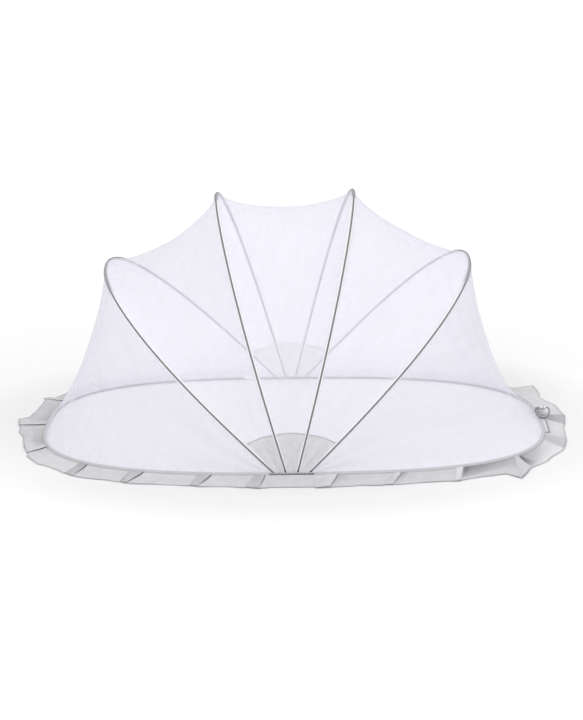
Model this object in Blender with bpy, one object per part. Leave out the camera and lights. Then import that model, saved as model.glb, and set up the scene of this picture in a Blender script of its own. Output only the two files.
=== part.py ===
# Folding mosquito net tent: an oval base ring in a fabric hem with a pleated skirt, and four wire
# hoops that open like a fan from the middle of its long sides, with netting between them.
# Metres, +Z up, the front of the tent towards -Y, the fold lines along Y.
import math

import bmesh
import bpy
import numpy as np
from mathutils import Matrix, Vector

# Base ring: the centre line of its wire, a full oval (a fullness of 2 would be an ellipse)
RING_HALF_LENGTH = 0.550
RING_HALF_WIDTH = 0.300
RING_FULLNESS = 2.85
HEM_RADIUS = 0.0040
WIRE_RADIUS = 0.00125
TIP_RADIUS = 0.0020
TIP_LENGTH = 0.0100
TIP_FLOOR = 0.0008
GAP = 0.0003

# Hoops, from right to left. A tilt leans a hoop to the right, and a reach is its height along its plane
HOOP_PITCH = 0.023
FAN_OFFSET = -0.006
SLEEVE_RADIUS = 0.0032
OUTER_REACH = 0.516
INNER_REACH = 0.538
OUTER_SIDE_FULLNESS = 2.70
OUTER_TOP_FULLNESS = 2.20
INNER_SIDE_FULLNESS = 2.65
INNER_TOP_FULLNESS = 1.82
HOOPS = {
    "outer_right": (math.radians(43.0), OUTER_REACH, OUTER_SIDE_FULLNESS, OUTER_TOP_FULLNESS),
    "inner_right": (math.radians(13.5), INNER_REACH, INNER_SIDE_FULLNESS, INNER_TOP_FULLNESS),
    "inner_left": (math.radians(-15.5), INNER_REACH, INNER_SIDE_FULLNESS, INNER_TOP_FULLNESS),
    "outer_left": (math.radians(-44.5), OUTER_REACH, OUTER_SIDE_FULLNESS, OUTER_TOP_FULLNESS),
}

# Netting and the grey fan patches at the foot of the hoops
NET_THICKNESS = 0.0008
NET_SAG_SHARES = {"net_end_right": 0.105, "net_right": 0.085, "net_top": 0.115, "net_left": 0.120,
                  "net_end_left": 0.062}
NET_SAG_POWER = 0.5
NET_START = 0.022
CLEAR_SHARE = 1.2
CROSSING_SHARE = 0.4
PATCH_REACH = 0.0885

# Skirt: an underside that falls from the hem to the floor, with knife pleats that widen outwards
SKIRT_WIDTH = 0.058
SKIRT_THICKNESS = 0.0008
SEAM_HEIGHT = 0.0024
SEAM_GAP = 0.0004
SKIRT_WIDTH_SHARES = (0.0, 0.14, 0.30, 0.64, 1.0)
SKIRT_DROP_SHARES = (1.0, 0.42, 0.0, 0.0, 0.0)
PLEAT_SPAN = 0.030
PLEAT_RISE = 0.0065
PLEAT_ROOT_SHARES = (-0.50, -0.16, -0.04, 0.10, 0.45)
PLEAT_HEM_SHARES = (-0.50, -0.16, -0.34, 0.18, 0.45)
PLEAT_RISE_SHARES = (0.0, 0.06, 1.0, 0.06, 0.0)
PLEAT_GROWTH_SHARES = (0.0, 0.12, 0.32, 0.70, 1.0)
# Places of the pleats in half the ring's length from the front, a little uneven as cloth is fed by hand,
# and how far the outer end of each is drawn along, in skirt widths
PLEAT_PLACE_SHARES = {
    "right": (0.061, 0.150, 0.241, 0.332, 0.423, 0.503, 0.605, 0.683, 0.758, 0.857),
    "left": (0.0475, 0.118, 0.212, 0.300, 0.401, 0.493, 0.598, 0.687, 0.775, 0.874),
}
PLEAT_LEAN_SHARES = {
    "right": (-0.17, -0.31, -0.29, -0.64, -0.53, 0.55, 0.74, 0.30, 0.30, 0.30),
    "left": (0.0, 0.26, 0.28, -0.14, -0.22, 0.69, 0.0, -0.30, -0.30, -0.30),
}

# White connector that joins the base wire at the back left, in a gap of the hem
CONNECTOR_PLACE = 0.105
CONNECTOR_LENGTH = 0.029
CONNECTOR_RADIUS = 0.0034

# D-ring in its webbing tab, and the tie strap, on the skirt at the right end
RING_WIDTH = 0.034
RING_DEPTH = 0.030
RING_WIRE_RADIUS = 0.00175
RING_CORNER_SHARE = 0.16
RING_CLEARANCE = 0.0040
TAB_OFFSET = 0.0072
TAB_PLACE = 0.014
TAB_WIDTH = 0.016
TAB_LENGTH = 0.046
TAB_THICKNESS = 0.0012
TAB_RISE = 0.0190
TAB_SEWN_SHARE = 0.30
STRAP_WIDTH = 0.010
STRAP_LENGTH = 0.086
STRAP_THICKNESS = 0.0010
STRAP_PLACE = 0.004
STRAP_LIFT_SHARES = (0.0, 0.6, 0.9, 0.5, 0.0, 0.1, 0.6)

# Faceting
TABLE_STEPS = 2400
STEPS = 32
NET_COLUMNS = 5
PATCH_ROWS = 4
ROUND_SIDES = 8
WIRE_SIDES = 6
TAB_TURNS = 7
BAR_STEPS = 4
CORNER_STEPS = 3
BOW_STEPS = 16
SMOOTH_ANGLE = math.radians(50)

# Heights and the fold lines that follow from the sizes above
RING_HEIGHT = HEM_RADIUS * math.cos(math.pi / ROUND_SIDES)
FOLD_HEIGHT = 2 * RING_HEIGHT
BAR_HEIGHT = FOLD_HEIGHT + TAB_RISE
FOLD_X = [FAN_OFFSET + (len(HOOPS) / 2 - k) * HOOP_PITCH for k in range(len(HOOPS) + 1)]
HOOP_X = {name: (FOLD_X[k] + FOLD_X[k + 1]) / 2 for k, name in enumerate(HOOPS)}
UP = Vector((0, 0, 1))

for old in list(bpy.data.objects):
    bpy.data.objects.remove(old, do_unlink=True)


# Curves as tables of points, read at distances along them

def run_of(points):
    steps = np.linalg.norm(np.diff(points, axis=0), axis=1)
    return np.concatenate([[0.0], np.cumsum(steps)])


def read(points, distances):
    run = run_of(points)
    return np.stack([np.interp(distances, run, points[:, k]) for k in range(3)], axis=1)


def power(value, exponent):
    return np.sign(value) * np.abs(value) ** exponent


def half_ring():
    """The right half of the base ring's centre line, from the front centre to the back centre."""
    turn = np.linspace(0, math.pi, TABLE_STEPS)
    x = RING_HALF_LENGTH * power(np.sin(turn), 2 / RING_FULLNESS)
    y = -RING_HALF_WIDTH * power(np.cos(turn), 2 / RING_FULLNESS)
    return np.stack([x, y, np.full(TABLE_STEPS, RING_HEIGHT)], axis=1)


def spread(points, start=0.0, end=None):
    """Distances of STEPS even steps along a curve, closer together where it turns."""
    run = run_of(points)
    along = np.diff(points, axis=0) / np.diff(run)[:, None]
    turning = np.linalg.norm(np.diff(along, axis=0), axis=1)
    turned = np.concatenate([[0.0, 0.0], np.cumsum(turning)])
    measure = run / run[-1] + turned / turned[-1]
    low, high = np.interp([start, run[-1] if end is None else end], run, measure)
    return np.interp(np.linspace(low, high, STEPS + 1), measure, run)


RING = half_ring()
RING_RUN = run_of(RING)
RING_TANGENT = np.gradient(RING, axis=0)
RING_TANGENT /= np.linalg.norm(RING_TANGENT, axis=1)[:, None]
SIDE_SIGN = {"right": 1, "left": -1}


def fold_distance(side):
    """How far along the ring its half starts, half a gap past the outermost fold line."""
    fold = FOLD_X[0] if side == "right" else -FOLD_X[-1]
    quarter = TABLE_STEPS // 4
    return float(np.interp(fold + GAP / 2, RING[:quarter, 0], RING_RUN[:quarter]))


# Each half as seen from its front end: where it starts and ends, and its corners in between
RING_START = {side: fold_distance(side) for side in SIDE_SIGN}
RING_FINISH = {side: RING_RUN[-1] - start for side, start in RING_START.items()}
STATIONS = {side: spread(RING, RING_START[side], RING_FINISH[side]) for side in SIDE_SIGN}
CORNERS = {side: read(RING, stations) for side, stations in STATIONS.items()}
TANGENTS = {side: np.stack([np.interp(stations, RING_RUN, RING_TANGENT[:, k]) for k in range(3)], axis=1)
            for side, stations in STATIONS.items()}


def ring_frame(side, distance):
    """The point of the faceted ring at a distance from the front centre, and the way out from it."""
    sign = SIDE_SIGN[side]
    place = [np.interp(distance, STATIONS[side], CORNERS[side][:, k]) for k in range(3)]
    along = Vector([np.interp(distance, STATIONS[side], TANGENTS[side][:, k]) for k in range(3)]).normalized()
    return Vector((sign * place[0], place[1], place[2])), Vector((sign * along.y, -along.x, 0))


def half_path(side, low, high):
    """Points of one half of the faceted ring between two distances from the front centre."""
    inside = [place for place in STATIONS[side] if low + GAP < place < high - GAP]
    return [ring_frame(side, place)[0] for place in [low, *inside, high]]


def hoop_curve(name):
    tilt, reach, side_fullness, top_fullness = HOOPS[name]
    turn = np.linspace(-math.pi / 2, math.pi / 2, TABLE_STEPS)
    y = RING_HALF_WIDTH * power(np.sin(turn), 2 / top_fullness)
    height = reach * np.abs(np.cos(turn)) ** (2 / side_fullness)
    x = HOOP_X[name] + height * math.sin(tilt)
    z = RING_HEIGHT + height * math.cos(tilt)
    return np.stack([x, y, z], axis=1)


def plane_normal(name):
    tilt = HOOPS[name][0]
    return Vector((math.cos(tilt), 0, -math.sin(tilt)))


HOOP_CURVE = {name: hoop_curve(name) for name in HOOPS}
HOOP_LENGTH = {name: float(run_of(curve)[-1]) for name, curve in HOOP_CURVE.items()}


# Bodies: an empty on each fold line, each carried by the one to its right

BODIES = ["base_right"] + ["hoop_" + name for name in HOOPS] + ["base_left"]
PIVOT = {"base_right": Vector((0, 0, 0))}
for place_of_fold, body_name in zip(FOLD_X, BODIES[1:]):
    PIVOT[body_name] = Vector((place_of_fold, 0, FOLD_HEIGHT))
RING_END = ring_frame("right", RING_RUN[-1] / 2)[0]
EMPTIES = {}


def ring_outline():
    """The D in its own plane: the bar along X through the origin, the bow towards -Y."""
    half = RING_WIDTH / 2 - RING_WIRE_RADIUS
    depth = RING_DEPTH - 2 * RING_WIRE_RADIUS
    corner = RING_CORNER_SHARE * RING_WIDTH
    points = [Vector(((half - corner) * (2 * k / BAR_STEPS - 1), 0, 0)) for k in range(BAR_STEPS)]
    quarters = [math.pi / 2 * (1 - k / CORNER_STEPS) for k in range(CORNER_STEPS)]
    for turn in quarters:
        points.append(Vector((half - corner + corner * math.cos(turn), -corner + corner * math.sin(turn), 0)))
    for k in range(BOW_STEPS + 1):
        turn = -math.pi * k / BOW_STEPS
        points.append(Vector((half * math.cos(turn), -corner + (depth - corner) * math.sin(turn), 0)))
    for turn in reversed(quarters[1:]):
        points.append(Vector((corner - half - corner * math.cos(turn), -corner + corner * math.sin(turn), 0)))
    return points


def ring_slope():
    """How steeply the D-ring hangs from its bar until its bow rests on the hem."""
    rest = FOLD_HEIGHT + GAP + RING_WIRE_RADIUS
    return math.asin((BAR_HEIGHT - rest) / (RING_DEPTH - 2 * RING_WIRE_RADIUS))


def tab_offset():
    """How far outside the end of the base the D-ring's middle is, or further where the net stands in its way."""
    tilt, reach = HOOPS["outer_right"][:2]
    run = RING_END.x - HOOP_X["outer_right"] - reach * math.sin(tilt)
    slope = math.atan2(reach * math.cos(tilt), run) - math.pi * NET_SAG_SHARES["net_end_right"]
    clear = []
    for point in ring_outline():
        height = BAR_HEIGHT - RING_HEIGHT + point.y * math.sin(ring_slope())
        clear.append(abs(point.x) + RING_WIRE_RADIUS + RING_CLEARANCE - height / math.tan(slope))
    return max(TAB_OFFSET, *clear)


PIVOT["tie_ring"] = Vector((RING_END.x + tab_offset(), TAB_PLACE, BAR_HEIGHT))


def make_empties():
    parents = dict(zip(BODIES[1:], BODIES))
    parents["tie_ring"] = "base_right"
    for body in BODIES + ["tie_ring"]:
        empty = bpy.data.objects.new("pivot_" + body, None)
        bpy.context.scene.collection.objects.link(empty)
        parent = parents.get(body)
        empty.location = PIVOT[body] - (PIVOT[parent] if parent else Vector())
        if parent:
            empty.parent = EMPTIES[parent]
        EMPTIES[body] = empty


def make_material(name, colour, roughness, metallic=0.0):
    material = bpy.data.materials.new(name)
    material.use_nodes = True
    shader = material.node_tree.nodes["Principled BSDF"]
    shader.inputs["Base Color"].default_value = (*colour, 1)
    shader.inputs["Roughness"].default_value = roughness
    shader.inputs["Metallic"].default_value = metallic
    return material


LOOKS = {
    "netting": ((0.86, 0.86, 0.90), 0.8, 0.0),
    "binding": ((0.62, 0.63, 0.65), 0.8, 0.0),
    "skirt_cloth": ((0.66, 0.67, 0.68), 0.85, 0.0),
    "patch_cloth": ((0.60, 0.62, 0.62), 0.85, 0.0),
    "webbing": ((0.70, 0.71, 0.73), 0.8, 0.0),
    "wire": ((0.42, 0.43, 0.45), 0.35, 1.0),
    "tip_plastic": ((0.20, 0.20, 0.21), 0.5, 0.0),
    "connector_plastic": ((0.90, 0.90, 0.90), 0.4, 0.0),
    "ring_metal": ((0.75, 0.76, 0.78), 0.15, 1.0),
}


def add_piece(name, body, look, mesh_builder, smooth=True):
    """Makes one named object from a bmesh, with its origin on its body's pivot."""
    shape = bmesh.new()
    mesh_builder(shape)
    bmesh.ops.translate(shape, verts=shape.verts, vec=-PIVOT[body])
    mesh = bpy.data.meshes.new(name)
    shape.to_mesh(mesh)
    shape.free()
    if smooth:
        mesh.shade_smooth()
        mesh.set_sharp_from_angle(angle=SMOOTH_ANGLE)
    mesh.materials.append(make_material(name, *LOOKS[look]))
    piece = bpy.data.objects.new(name, mesh)
    bpy.context.scene.collection.objects.link(piece)
    piece.parent = EMPTIES[body]
    return piece


# Shape builders, each adding to a bmesh

def loop_at(shape, centre, side, up, radius, sides):
    """A polygon of vertices round a point, with one flat side facing down."""
    step = 2 * math.pi / sides
    turns = [step * (k + 0.5) - math.pi / 2 for k in range(sides)]
    return [shape.verts.new(centre + radius * (math.cos(t) * side + math.sin(t) * up)) for t in turns]


def skin(shape, first, second):
    for k in range(len(first)):
        after = (k + 1) % len(first)
        shape.faces.new((first[k], first[after], second[after], second[k]))


def across_to(radius, sides):
    """The corner radius of a polygon whose flat sides are at this radius."""
    return radius / math.cos(math.pi / sides)


def add_tube(shape, path, up, radius, sides, bore=None):
    """A tube along a flat path. With a bore it is open at both ends, and otherwise solid."""
    points = [Vector(point) for point in path]
    loops = []
    for k, point in enumerate(points):
        along = (points[min(k + 1, len(points) - 1)] - points[max(k - 1, 0)]).normalized()
        side = along.cross(up).normalized()
        outer = loop_at(shape, point, side, up, radius, sides)
        inner = loop_at(shape, point, side, up, bore, sides) if bore else None
        loops.append((outer, inner))
    for (outer, inner), (next_outer, next_inner) in zip(loops, loops[1:]):
        skin(shape, outer, next_outer)
        if bore:
            skin(shape, next_inner, inner)
    first, last = loops[0], loops[-1]
    if bore:
        skin(shape, first[1], first[0])
        skin(shape, last[0], last[1])
    else:
        shape.faces.new(list(reversed(first[0])))
        shape.faces.new(last[0])
    face_out(shape)


def face_out(shape):
    bmesh.ops.recalc_face_normals(shape, faces=shape.faces)


def add_cup(shape, base, along, up, radius, length, bore, floor):
    """A round cap with a blind hole for a wire, from its closed end."""
    side = along.cross(up).normalized()
    up = side.cross(along).normalized()
    outer_low = loop_at(shape, base, side, up, radius, ROUND_SIDES)
    outer_high = loop_at(shape, base + along * length, side, up, radius, ROUND_SIDES)
    inner_high = loop_at(shape, base + along * length, side, up, bore, ROUND_SIDES)
    inner_low = loop_at(shape, base + along * floor, side, up, bore, ROUND_SIDES)
    shape.faces.new(outer_low)
    skin(shape, outer_low, outer_high)
    skin(shape, outer_high, inner_high)
    skin(shape, inner_high, inner_low)
    shape.faces.new(inner_low)
    face_out(shape)


def add_sheet(shape, rows, facing):
    """A sheet through rows of points, its faces turned the way that facing points at each."""
    grid = [[shape.verts.new(point) for point in row] for row in rows]
    made = []
    for low, high in zip(grid, grid[1:]):
        for k in range(len(low) - 1):
            made.append(shape.faces.new((low[k], low[k + 1], high[k + 1], high[k])))
    for face in made:
        face.normal_update()
    against = sum(1 for face in made if face.normal.dot(facing(face)) < 0)
    if against > len(made) / 2:
        bmesh.ops.reverse_faces(shape, faces=made)


def thicken(piece, thickness, offset):
    solidify = piece.modifiers.new("thickness", "SOLIDIFY")
    solidify.thickness = thickness
    solidify.offset = offset
    return piece


# Base ring: wires, their tips, the hem and the connector

def make_base(side):
    body = "base_" + side
    start = RING_START[side]
    end = RING_FINISH[side]
    joint = RING_RUN[-1] - CONNECTOR_PLACE
    cut = [] if side == "right" else [joint]
    hem_bore = across_to(TIP_RADIUS + GAP, ROUND_SIDES)
    tip_bore = across_to(WIRE_RADIUS + GAP, ROUND_SIDES)

    def spans(low, high, opening):
        """The runs of one half between its ends, broken at the connector where there is one."""
        edges = [low] + [place for middle in cut for place in (middle - opening, middle + opening)] + [high]
        return list(zip(edges[::2], edges[1::2]))

    def add_run(name, look, low, high, *section):
        def build(shape):
            path = half_path(side, low, high)
            add_tube(shape, path, UP, *section)

        add_piece(name, body, look, build)

    def add_tip(name, distance):
        def build(shape):
            base = ring_frame(side, distance)[0]
            along = Vector((SIDE_SIGN[side], 0, 0))
            add_cup(shape, base, along, UP, TIP_RADIUS, TIP_LENGTH, tip_bore, TIP_FLOOR)

        add_piece(name, body, "tip_plastic", build)

    inset = TIP_FLOOR + GAP
    endings = ("",) if side == "right" else ("", "_back")
    for ending, (low, high) in zip(endings, spans(start + inset, end - inset, GAP / 2)):
        add_run("base_wire_" + side + ending, "wire", low, high, WIRE_RADIUS, WIRE_SIDES)
    for ending, (low, high) in zip(endings, spans(start, end, CONNECTOR_LENGTH / 2 + GAP)):
        add_run("hem_" + side + ending, "binding", low, high, HEM_RADIUS, ROUND_SIDES, hem_bore)
    add_tip("base_tip_front_" + side, start)
    add_tip("base_tip_back_" + side, end)


def build_connector(shape):
    middle = RING_RUN[-1] - CONNECTOR_PLACE
    path = half_path("left", middle - CONNECTOR_LENGTH / 2, middle + CONNECTOR_LENGTH / 2)
    add_tube(shape, path, UP, CONNECTOR_RADIUS, ROUND_SIDES, across_to(WIRE_RADIUS + GAP, ROUND_SIDES))


# Skirt

def skirt_section():
    """Distance out from the ring's centre line and height of the underside, across the skirt."""
    root = RING_HEIGHT + SEAM_GAP
    outs = [root + SKIRT_WIDTH * share for share in SKIRT_WIDTH_SHARES]
    heights = [SEAM_HEIGHT * share for share in SKIRT_DROP_SHARES]
    return list(zip(outs, heights, PLEAT_GROWTH_SHARES, SKIRT_WIDTH_SHARES))


def skirt_stations(side):
    """Lines across the skirt: distance at the hem, distance at the outer edge, and the rise there."""
    start = RING_START[side]
    end = RING_FINISH[side]
    span = SIDE_SIGN[side] * PLEAT_SPAN
    corners = [(start, start, 0.0)]
    for place_share, lean_share in zip(PLEAT_PLACE_SHARES[side], PLEAT_LEAN_SHARES[side]):
        middle = RING_RUN[-1] * place_share
        lean = SKIRT_WIDTH * lean_share
        pleat = [(middle + root * span, middle + edge * span + lean, rise)
                 for root, edge, rise in zip(PLEAT_ROOT_SHARES, PLEAT_HEM_SHARES, PLEAT_RISE_SHARES)]
        corners += sorted(pleat)
    corners.append((end, end, 0.0))
    roots, edges, rises = zip(*corners)
    plain = [place for place in STATIONS[side] if min(abs(place - root) for root in roots) > GAP]
    between = [(place, float(np.interp(place, roots, edges)), float(np.interp(place, roots, rises)))
               for place in plain]
    return sorted(corners + between)


def make_skirt(side):
    def build(shape):
        rows = []
        for root, edge, rise in skirt_stations(side):
            row = []
            for out_by, height, growth, share in skirt_section():
                place, out = ring_frame(side, root + (edge - root) * share)
                lift = height + PLEAT_RISE * rise * growth
                row.append(Vector((place.x + out.x * out_by, place.y + out.y * out_by, lift)))
            rows.append(row)
        add_sheet(shape, rows, lambda face: UP)

    thicken(add_piece("skirt_" + side, "base_" + side, "skirt_cloth", build), SKIRT_THICKNESS, 1)


# Hoops

def hoop_path(name, inset):
    """Points of a hoop's centre line, left short of both ends."""
    length = HOOP_LENGTH[name]
    inside = [place for place in spread(HOOP_CURVE[name]) if inset < place < length - inset]
    return read(HOOP_CURVE[name], [inset, *inside, length - inset])


def make_hoop(name):
    normal = plane_normal(name)
    bore = across_to(WIRE_RADIUS + GAP, ROUND_SIDES)

    def build_wire(shape):
        add_tube(shape, hoop_path(name, 0), normal, WIRE_RADIUS, WIRE_SIDES)

    def build_sleeve(shape):
        add_tube(shape, hoop_path(name, TIP_LENGTH), normal, SLEEVE_RADIUS, ROUND_SIDES, bore)

    add_piece("hoop_wire_" + name, "hoop_" + name, "wire", build_wire)
    add_piece("hoop_sleeve_" + name, "hoop_" + name, "binding", build_sleeve)
    make_foot(name, "front", -1)
    make_foot(name, "back", 1)


def make_foot(name, where, sign):
    """One end of a hoop: its tip, the pocket of the hem strip that holds it, and the skirt's gore there."""
    body = "hoop_" + name
    ending = where + "_" + name
    normal = plane_normal(name)
    tilt = HOOPS[name][0]
    rise = Vector((math.sin(tilt), 0, math.cos(tilt)))
    foot = Vector((HOOP_X[name], sign * RING_HALF_WIDTH, RING_HEIGHT))
    length = HOOP_PITCH - GAP

    def build_tip(shape):
        bore = across_to(WIRE_RADIUS + GAP, ROUND_SIDES)
        base = foot - rise * (TIP_FLOOR + GAP)
        add_cup(shape, base, rise, normal, TIP_RADIUS, TIP_LENGTH + TIP_FLOOR, bore, TIP_FLOOR)

    def build_pocket(shape):
        place = Matrix.Translation(foot) @ Matrix.Diagonal((length, 2 * RING_HEIGHT, FOLD_HEIGHT, 1))
        bmesh.ops.create_cube(shape, size=1, matrix=place)

    def build_bore(shape):
        side = rise.cross(normal).normalized()
        radius = across_to(TIP_RADIUS + GAP, ROUND_SIDES)
        bottom = foot - rise * (TIP_FLOOR + 2 * GAP)
        low = loop_at(shape, bottom, side, normal, radius, ROUND_SIDES)
        high = loop_at(shape, foot + rise * 2 * FOLD_HEIGHT, side, normal, radius, ROUND_SIDES)
        shape.faces.new(low)
        skin(shape, low, high)
        shape.faces.new(high)
        face_out(shape)

    def build_gore(shape):
        rows = []
        for x in (foot.x - length / 2, foot.x + length / 2):
            rows.append([Vector((x, sign * (RING_HALF_WIDTH + out_by), height))
                         for out_by, height, growth, share in skirt_section()])
        add_sheet(shape, rows, lambda face: UP)

    add_piece("hoop_tip_" + ending, body, "tip_plastic", build_tip)
    pocket = add_piece("hem_pocket_" + ending, body, "binding", build_pocket, smooth=False)
    cutter = add_piece("cutter_" + ending, body, "binding", build_bore, smooth=False)
    cutter.hide_render = True
    cutter.display_type = "WIRE"
    pocket.modifiers.new("bore", "BOOLEAN").object = cutter
    thicken(add_piece("skirt_gore_" + ending, body, "skirt_cloth", build_gore), SKIRT_THICKNESS, 1)


# Netting and patches, between two edges that each have a path and a radius to stay clear of

def edge_of(body):
    """Path, stations and radius of what a panel is sewn to: a hoop's sleeve or half of the hem."""
    if body.startswith("hoop_"):
        curve = HOOP_CURVE[body[len("hoop_"):]]
        return curve, spread(curve), SLEEVE_RADIUS
    side = body[len("base_"):]
    dense = read(RING, np.linspace(RING_START[side], RING_FINISH[side], TABLE_STEPS))
    dense[:, 0] *= SIDE_SIGN[side]
    return dense, STATIONS[side] - RING_START[side], HEM_RADIUS


def panel_row(first, second, first_way, second_way, first_radius, second_radius, sag):
    """Points from one edge to the other, clear of both, sagging inwards between them."""
    span = second - first
    across = span.normalized()
    starts = []
    for way, radius in ((first_way, first_radius), (second_way, second_radius)):
        starts.append((radius + GAP) / max(across.cross(way).length, CROSSING_SHARE))
    low = first + across * starts[0]
    high = second - across * starts[1]
    inward = across.cross((first_way + second_way).normalized()).normalized()
    centre = Vector((FAN_OFFSET, 0, RING_HEIGHT))
    if inward.dot(centre - (low + high) / 2) < 0:
        inward.negate()
    row = []
    for k in range(NET_COLUMNS + 1):
        share = k / NET_COLUMNS
        bow = math.sin(math.pi * share) * sag * span.length
        row.append(low.lerp(high, share) + inward * bow)
    return row


def ways(path, distances):
    """The way a path runs at each distance along it."""
    length = run_of(path)[-1]
    small = length / TABLE_STEPS
    ahead = read(path, np.clip(distances + small, 0, length))
    behind = read(path, np.clip(distances - small, 0, length))
    return [Vector(step).normalized() for step in ahead - behind]


def outward_from_tent(face):
    return face.calc_center_median() - Vector((FAN_OFFSET, 0, RING_HEIGHT))


def make_panel(name, body, first_body, second_body, inset):
    def build(shape):
        edges = [edge_of(first_body), edge_of(second_body)]
        skipped = max(int(np.searchsorted(stations, inset * CLEAR_SHARE)) for _, stations, _ in edges)
        sides = []
        for path, stations, radius in edges:
            kept = stations[skipped:STEPS + 1 - skipped]
            distances = np.array([inset, *kept, stations[-1] - inset])
            sides.append((read(path, distances), ways(path, distances), radius))
        (firsts, first_ways, first_radius), (seconds, second_ways, second_radius) = sides
        rows = []
        for k in range(len(firsts)):
            sag = NET_SAG_SHARES[name] * max(0.0, math.sin(math.pi * k / (len(firsts) - 1))) ** NET_SAG_POWER
            rows.append(panel_row(Vector(firsts[k]), Vector(seconds[k]), first_ways[k], second_ways[k],
                                  first_radius, second_radius, sag))
        add_sheet(shape, rows, outward_from_tent)

    thicken(add_piece(name, body, "netting", build), NET_THICKNESS, 0)


def make_patch(name, body, first_hoop, second_hoop, front):
    """A sector of the grey fan at the foot of two hoops, from the hem strip to the netting."""
    def build(shape):
        rows = []
        foot = FOLD_HEIGHT + GAP + NET_THICKNESS - RING_HEIGHT
        for k in range(PATCH_ROWS + 1):
            points = []
            for hoop in (first_hoop, second_hoop):
                low = foot / math.cos(HOOPS[hoop][0])
                distance = low + (PATCH_REACH - GAP - low) * k / PATCH_ROWS
                if not front:
                    distance = HOOP_LENGTH[hoop] - distance
                way = ways(HOOP_CURVE[hoop], np.array([distance]))[0]
                points.append((Vector(read(HOOP_CURVE[hoop], [distance])[0]), way))
            (first, first_way), (second, second_way) = points
            rows.append(panel_row(first, second, first_way, second_way, SLEEVE_RADIUS, SLEEVE_RADIUS, 0))
        add_sheet(shape, rows, outward_from_tent)

    thicken(add_piece(name, body, "patch_cloth", build), NET_THICKNESS, 0)


# D-ring, its tab and the tie strap

def skirt_top(out_by):
    section = skirt_section()
    outs = [row[0] for row in section]
    heights = [row[1] for row in section]
    return float(np.interp(out_by, outs, heights)) + SKIRT_THICKNESS


def build_ring(shape):
    outline = ring_outline()
    turn = Matrix.Translation(PIVOT["tie_ring"]) @ Matrix.Rotation(ring_slope(), 4, "X")
    loops = []
    for k, point in enumerate(outline):
        along = (outline[(k + 1) % len(outline)] - outline[k - 1]).normalized()
        side = along.cross(UP).normalized()
        loops.append(loop_at(shape, point, side, UP, RING_WIRE_RADIUS, ROUND_SIDES))
    for first, second in zip(loops, loops[1:] + loops[:1]):
        skin(shape, first, second)
    face_out(shape)
    bmesh.ops.transform(shape, matrix=turn, verts=shape.verts)


def add_strip(shape, path, width, facing):
    half = Vector((width / 2, 0, 0))
    add_sheet(shape, [[point - half, point + half] for point in path], facing)


def build_tab(shape):
    """A loop of webbing, sewn to the top of the hem, round the bar of the D-ring and back."""
    bar = PIVOT["tie_ring"]
    hold = RING_WIRE_RADIUS + GAP + TAB_THICKNESS / 2
    low = FOLD_HEIGHT + GAP + TAB_THICKNESS / 2
    apart = TAB_THICKNESS + GAP
    root_y = bar.y + TAB_LENGTH
    sewn_y = root_y - TAB_LENGTH * TAB_SEWN_SHARE
    slope = math.atan2(bar.z - low, sewn_y - bar.y)
    turns = [-math.pi / 2 - slope - math.pi * k / TAB_TURNS for k in range(TAB_TURNS + 1)]
    around = [bar + Vector((0, math.cos(turn), math.sin(turn))) * hold for turn in turns]
    under = [Vector((bar.x, root_y, low)), Vector((bar.x, sewn_y, low))]
    over = [Vector((bar.x, sewn_y, low + apart)), Vector((bar.x, root_y, low + apart))]
    add_strip(shape, under + around + over, TAB_WIDTH, lambda face: UP)


def build_strap(shape):
    """The tie strap, from the seam of the skirt along the hem, with its end turned up a little."""
    x = RING_END.x + HEM_RADIUS + GAP + STRAP_WIDTH / 2
    low = skirt_top(RING_HEIGHT + SEAM_GAP) + GAP + STRAP_THICKNESS / 2
    steps = len(STRAP_LIFT_SHARES) - 1
    path = [Vector((x, STRAP_PLACE - STRAP_LENGTH * k / steps, low + lift * STRAP_THICKNESS))
            for k, lift in enumerate(STRAP_LIFT_SHARES)]
    add_strip(shape, path, STRAP_WIDTH, lambda face: UP)


def main():
    make_empties()
    for side in SIDE_SIGN:
        make_base(side)
        make_skirt(side)
    add_piece("wire_connector", "base_left", "connector_plastic", build_connector)
    for name in HOOPS:
        make_hoop(name)
    make_panel("net_end_right", "base_right", "base_right", "hoop_outer_right", NET_START)
    make_panel("net_right", "hoop_outer_right", "hoop_outer_right", "hoop_inner_right", PATCH_REACH)
    make_panel("net_top", "hoop_inner_right", "hoop_inner_right", "hoop_inner_left", PATCH_REACH)
    make_panel("net_left", "hoop_inner_left", "hoop_inner_left", "hoop_outer_left", PATCH_REACH)
    make_panel("net_end_left", "hoop_outer_left", "hoop_outer_left", "base_left", NET_START)
    names = list(HOOPS)
    for place, first, second in zip(("right", "middle", "left"), names, names[1:]):
        make_patch("patch_front_" + place, "hoop_" + first, first, second, True)
        make_patch("patch_back_" + place, "hoop_" + first, first, second, False)
    add_piece("d_ring", "tie_ring", "ring_metal", build_ring)
    thicken(add_piece("ring_tab", "base_right", "webbing", build_tab), TAB_THICKNESS, 0)
    thicken(add_piece("tie_strap", "base_right", "webbing", build_strap), STRAP_THICKNESS, 0)


main()
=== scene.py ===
# Looks of a folding mosquito net tent: netting, taped hoops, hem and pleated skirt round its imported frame.
# Metres, +Z up, the front of the tent towards -Y.
import math

import bmesh
import bpy
import numpy as np
from mathutils import Matrix, Quaternion, Vector


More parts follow.
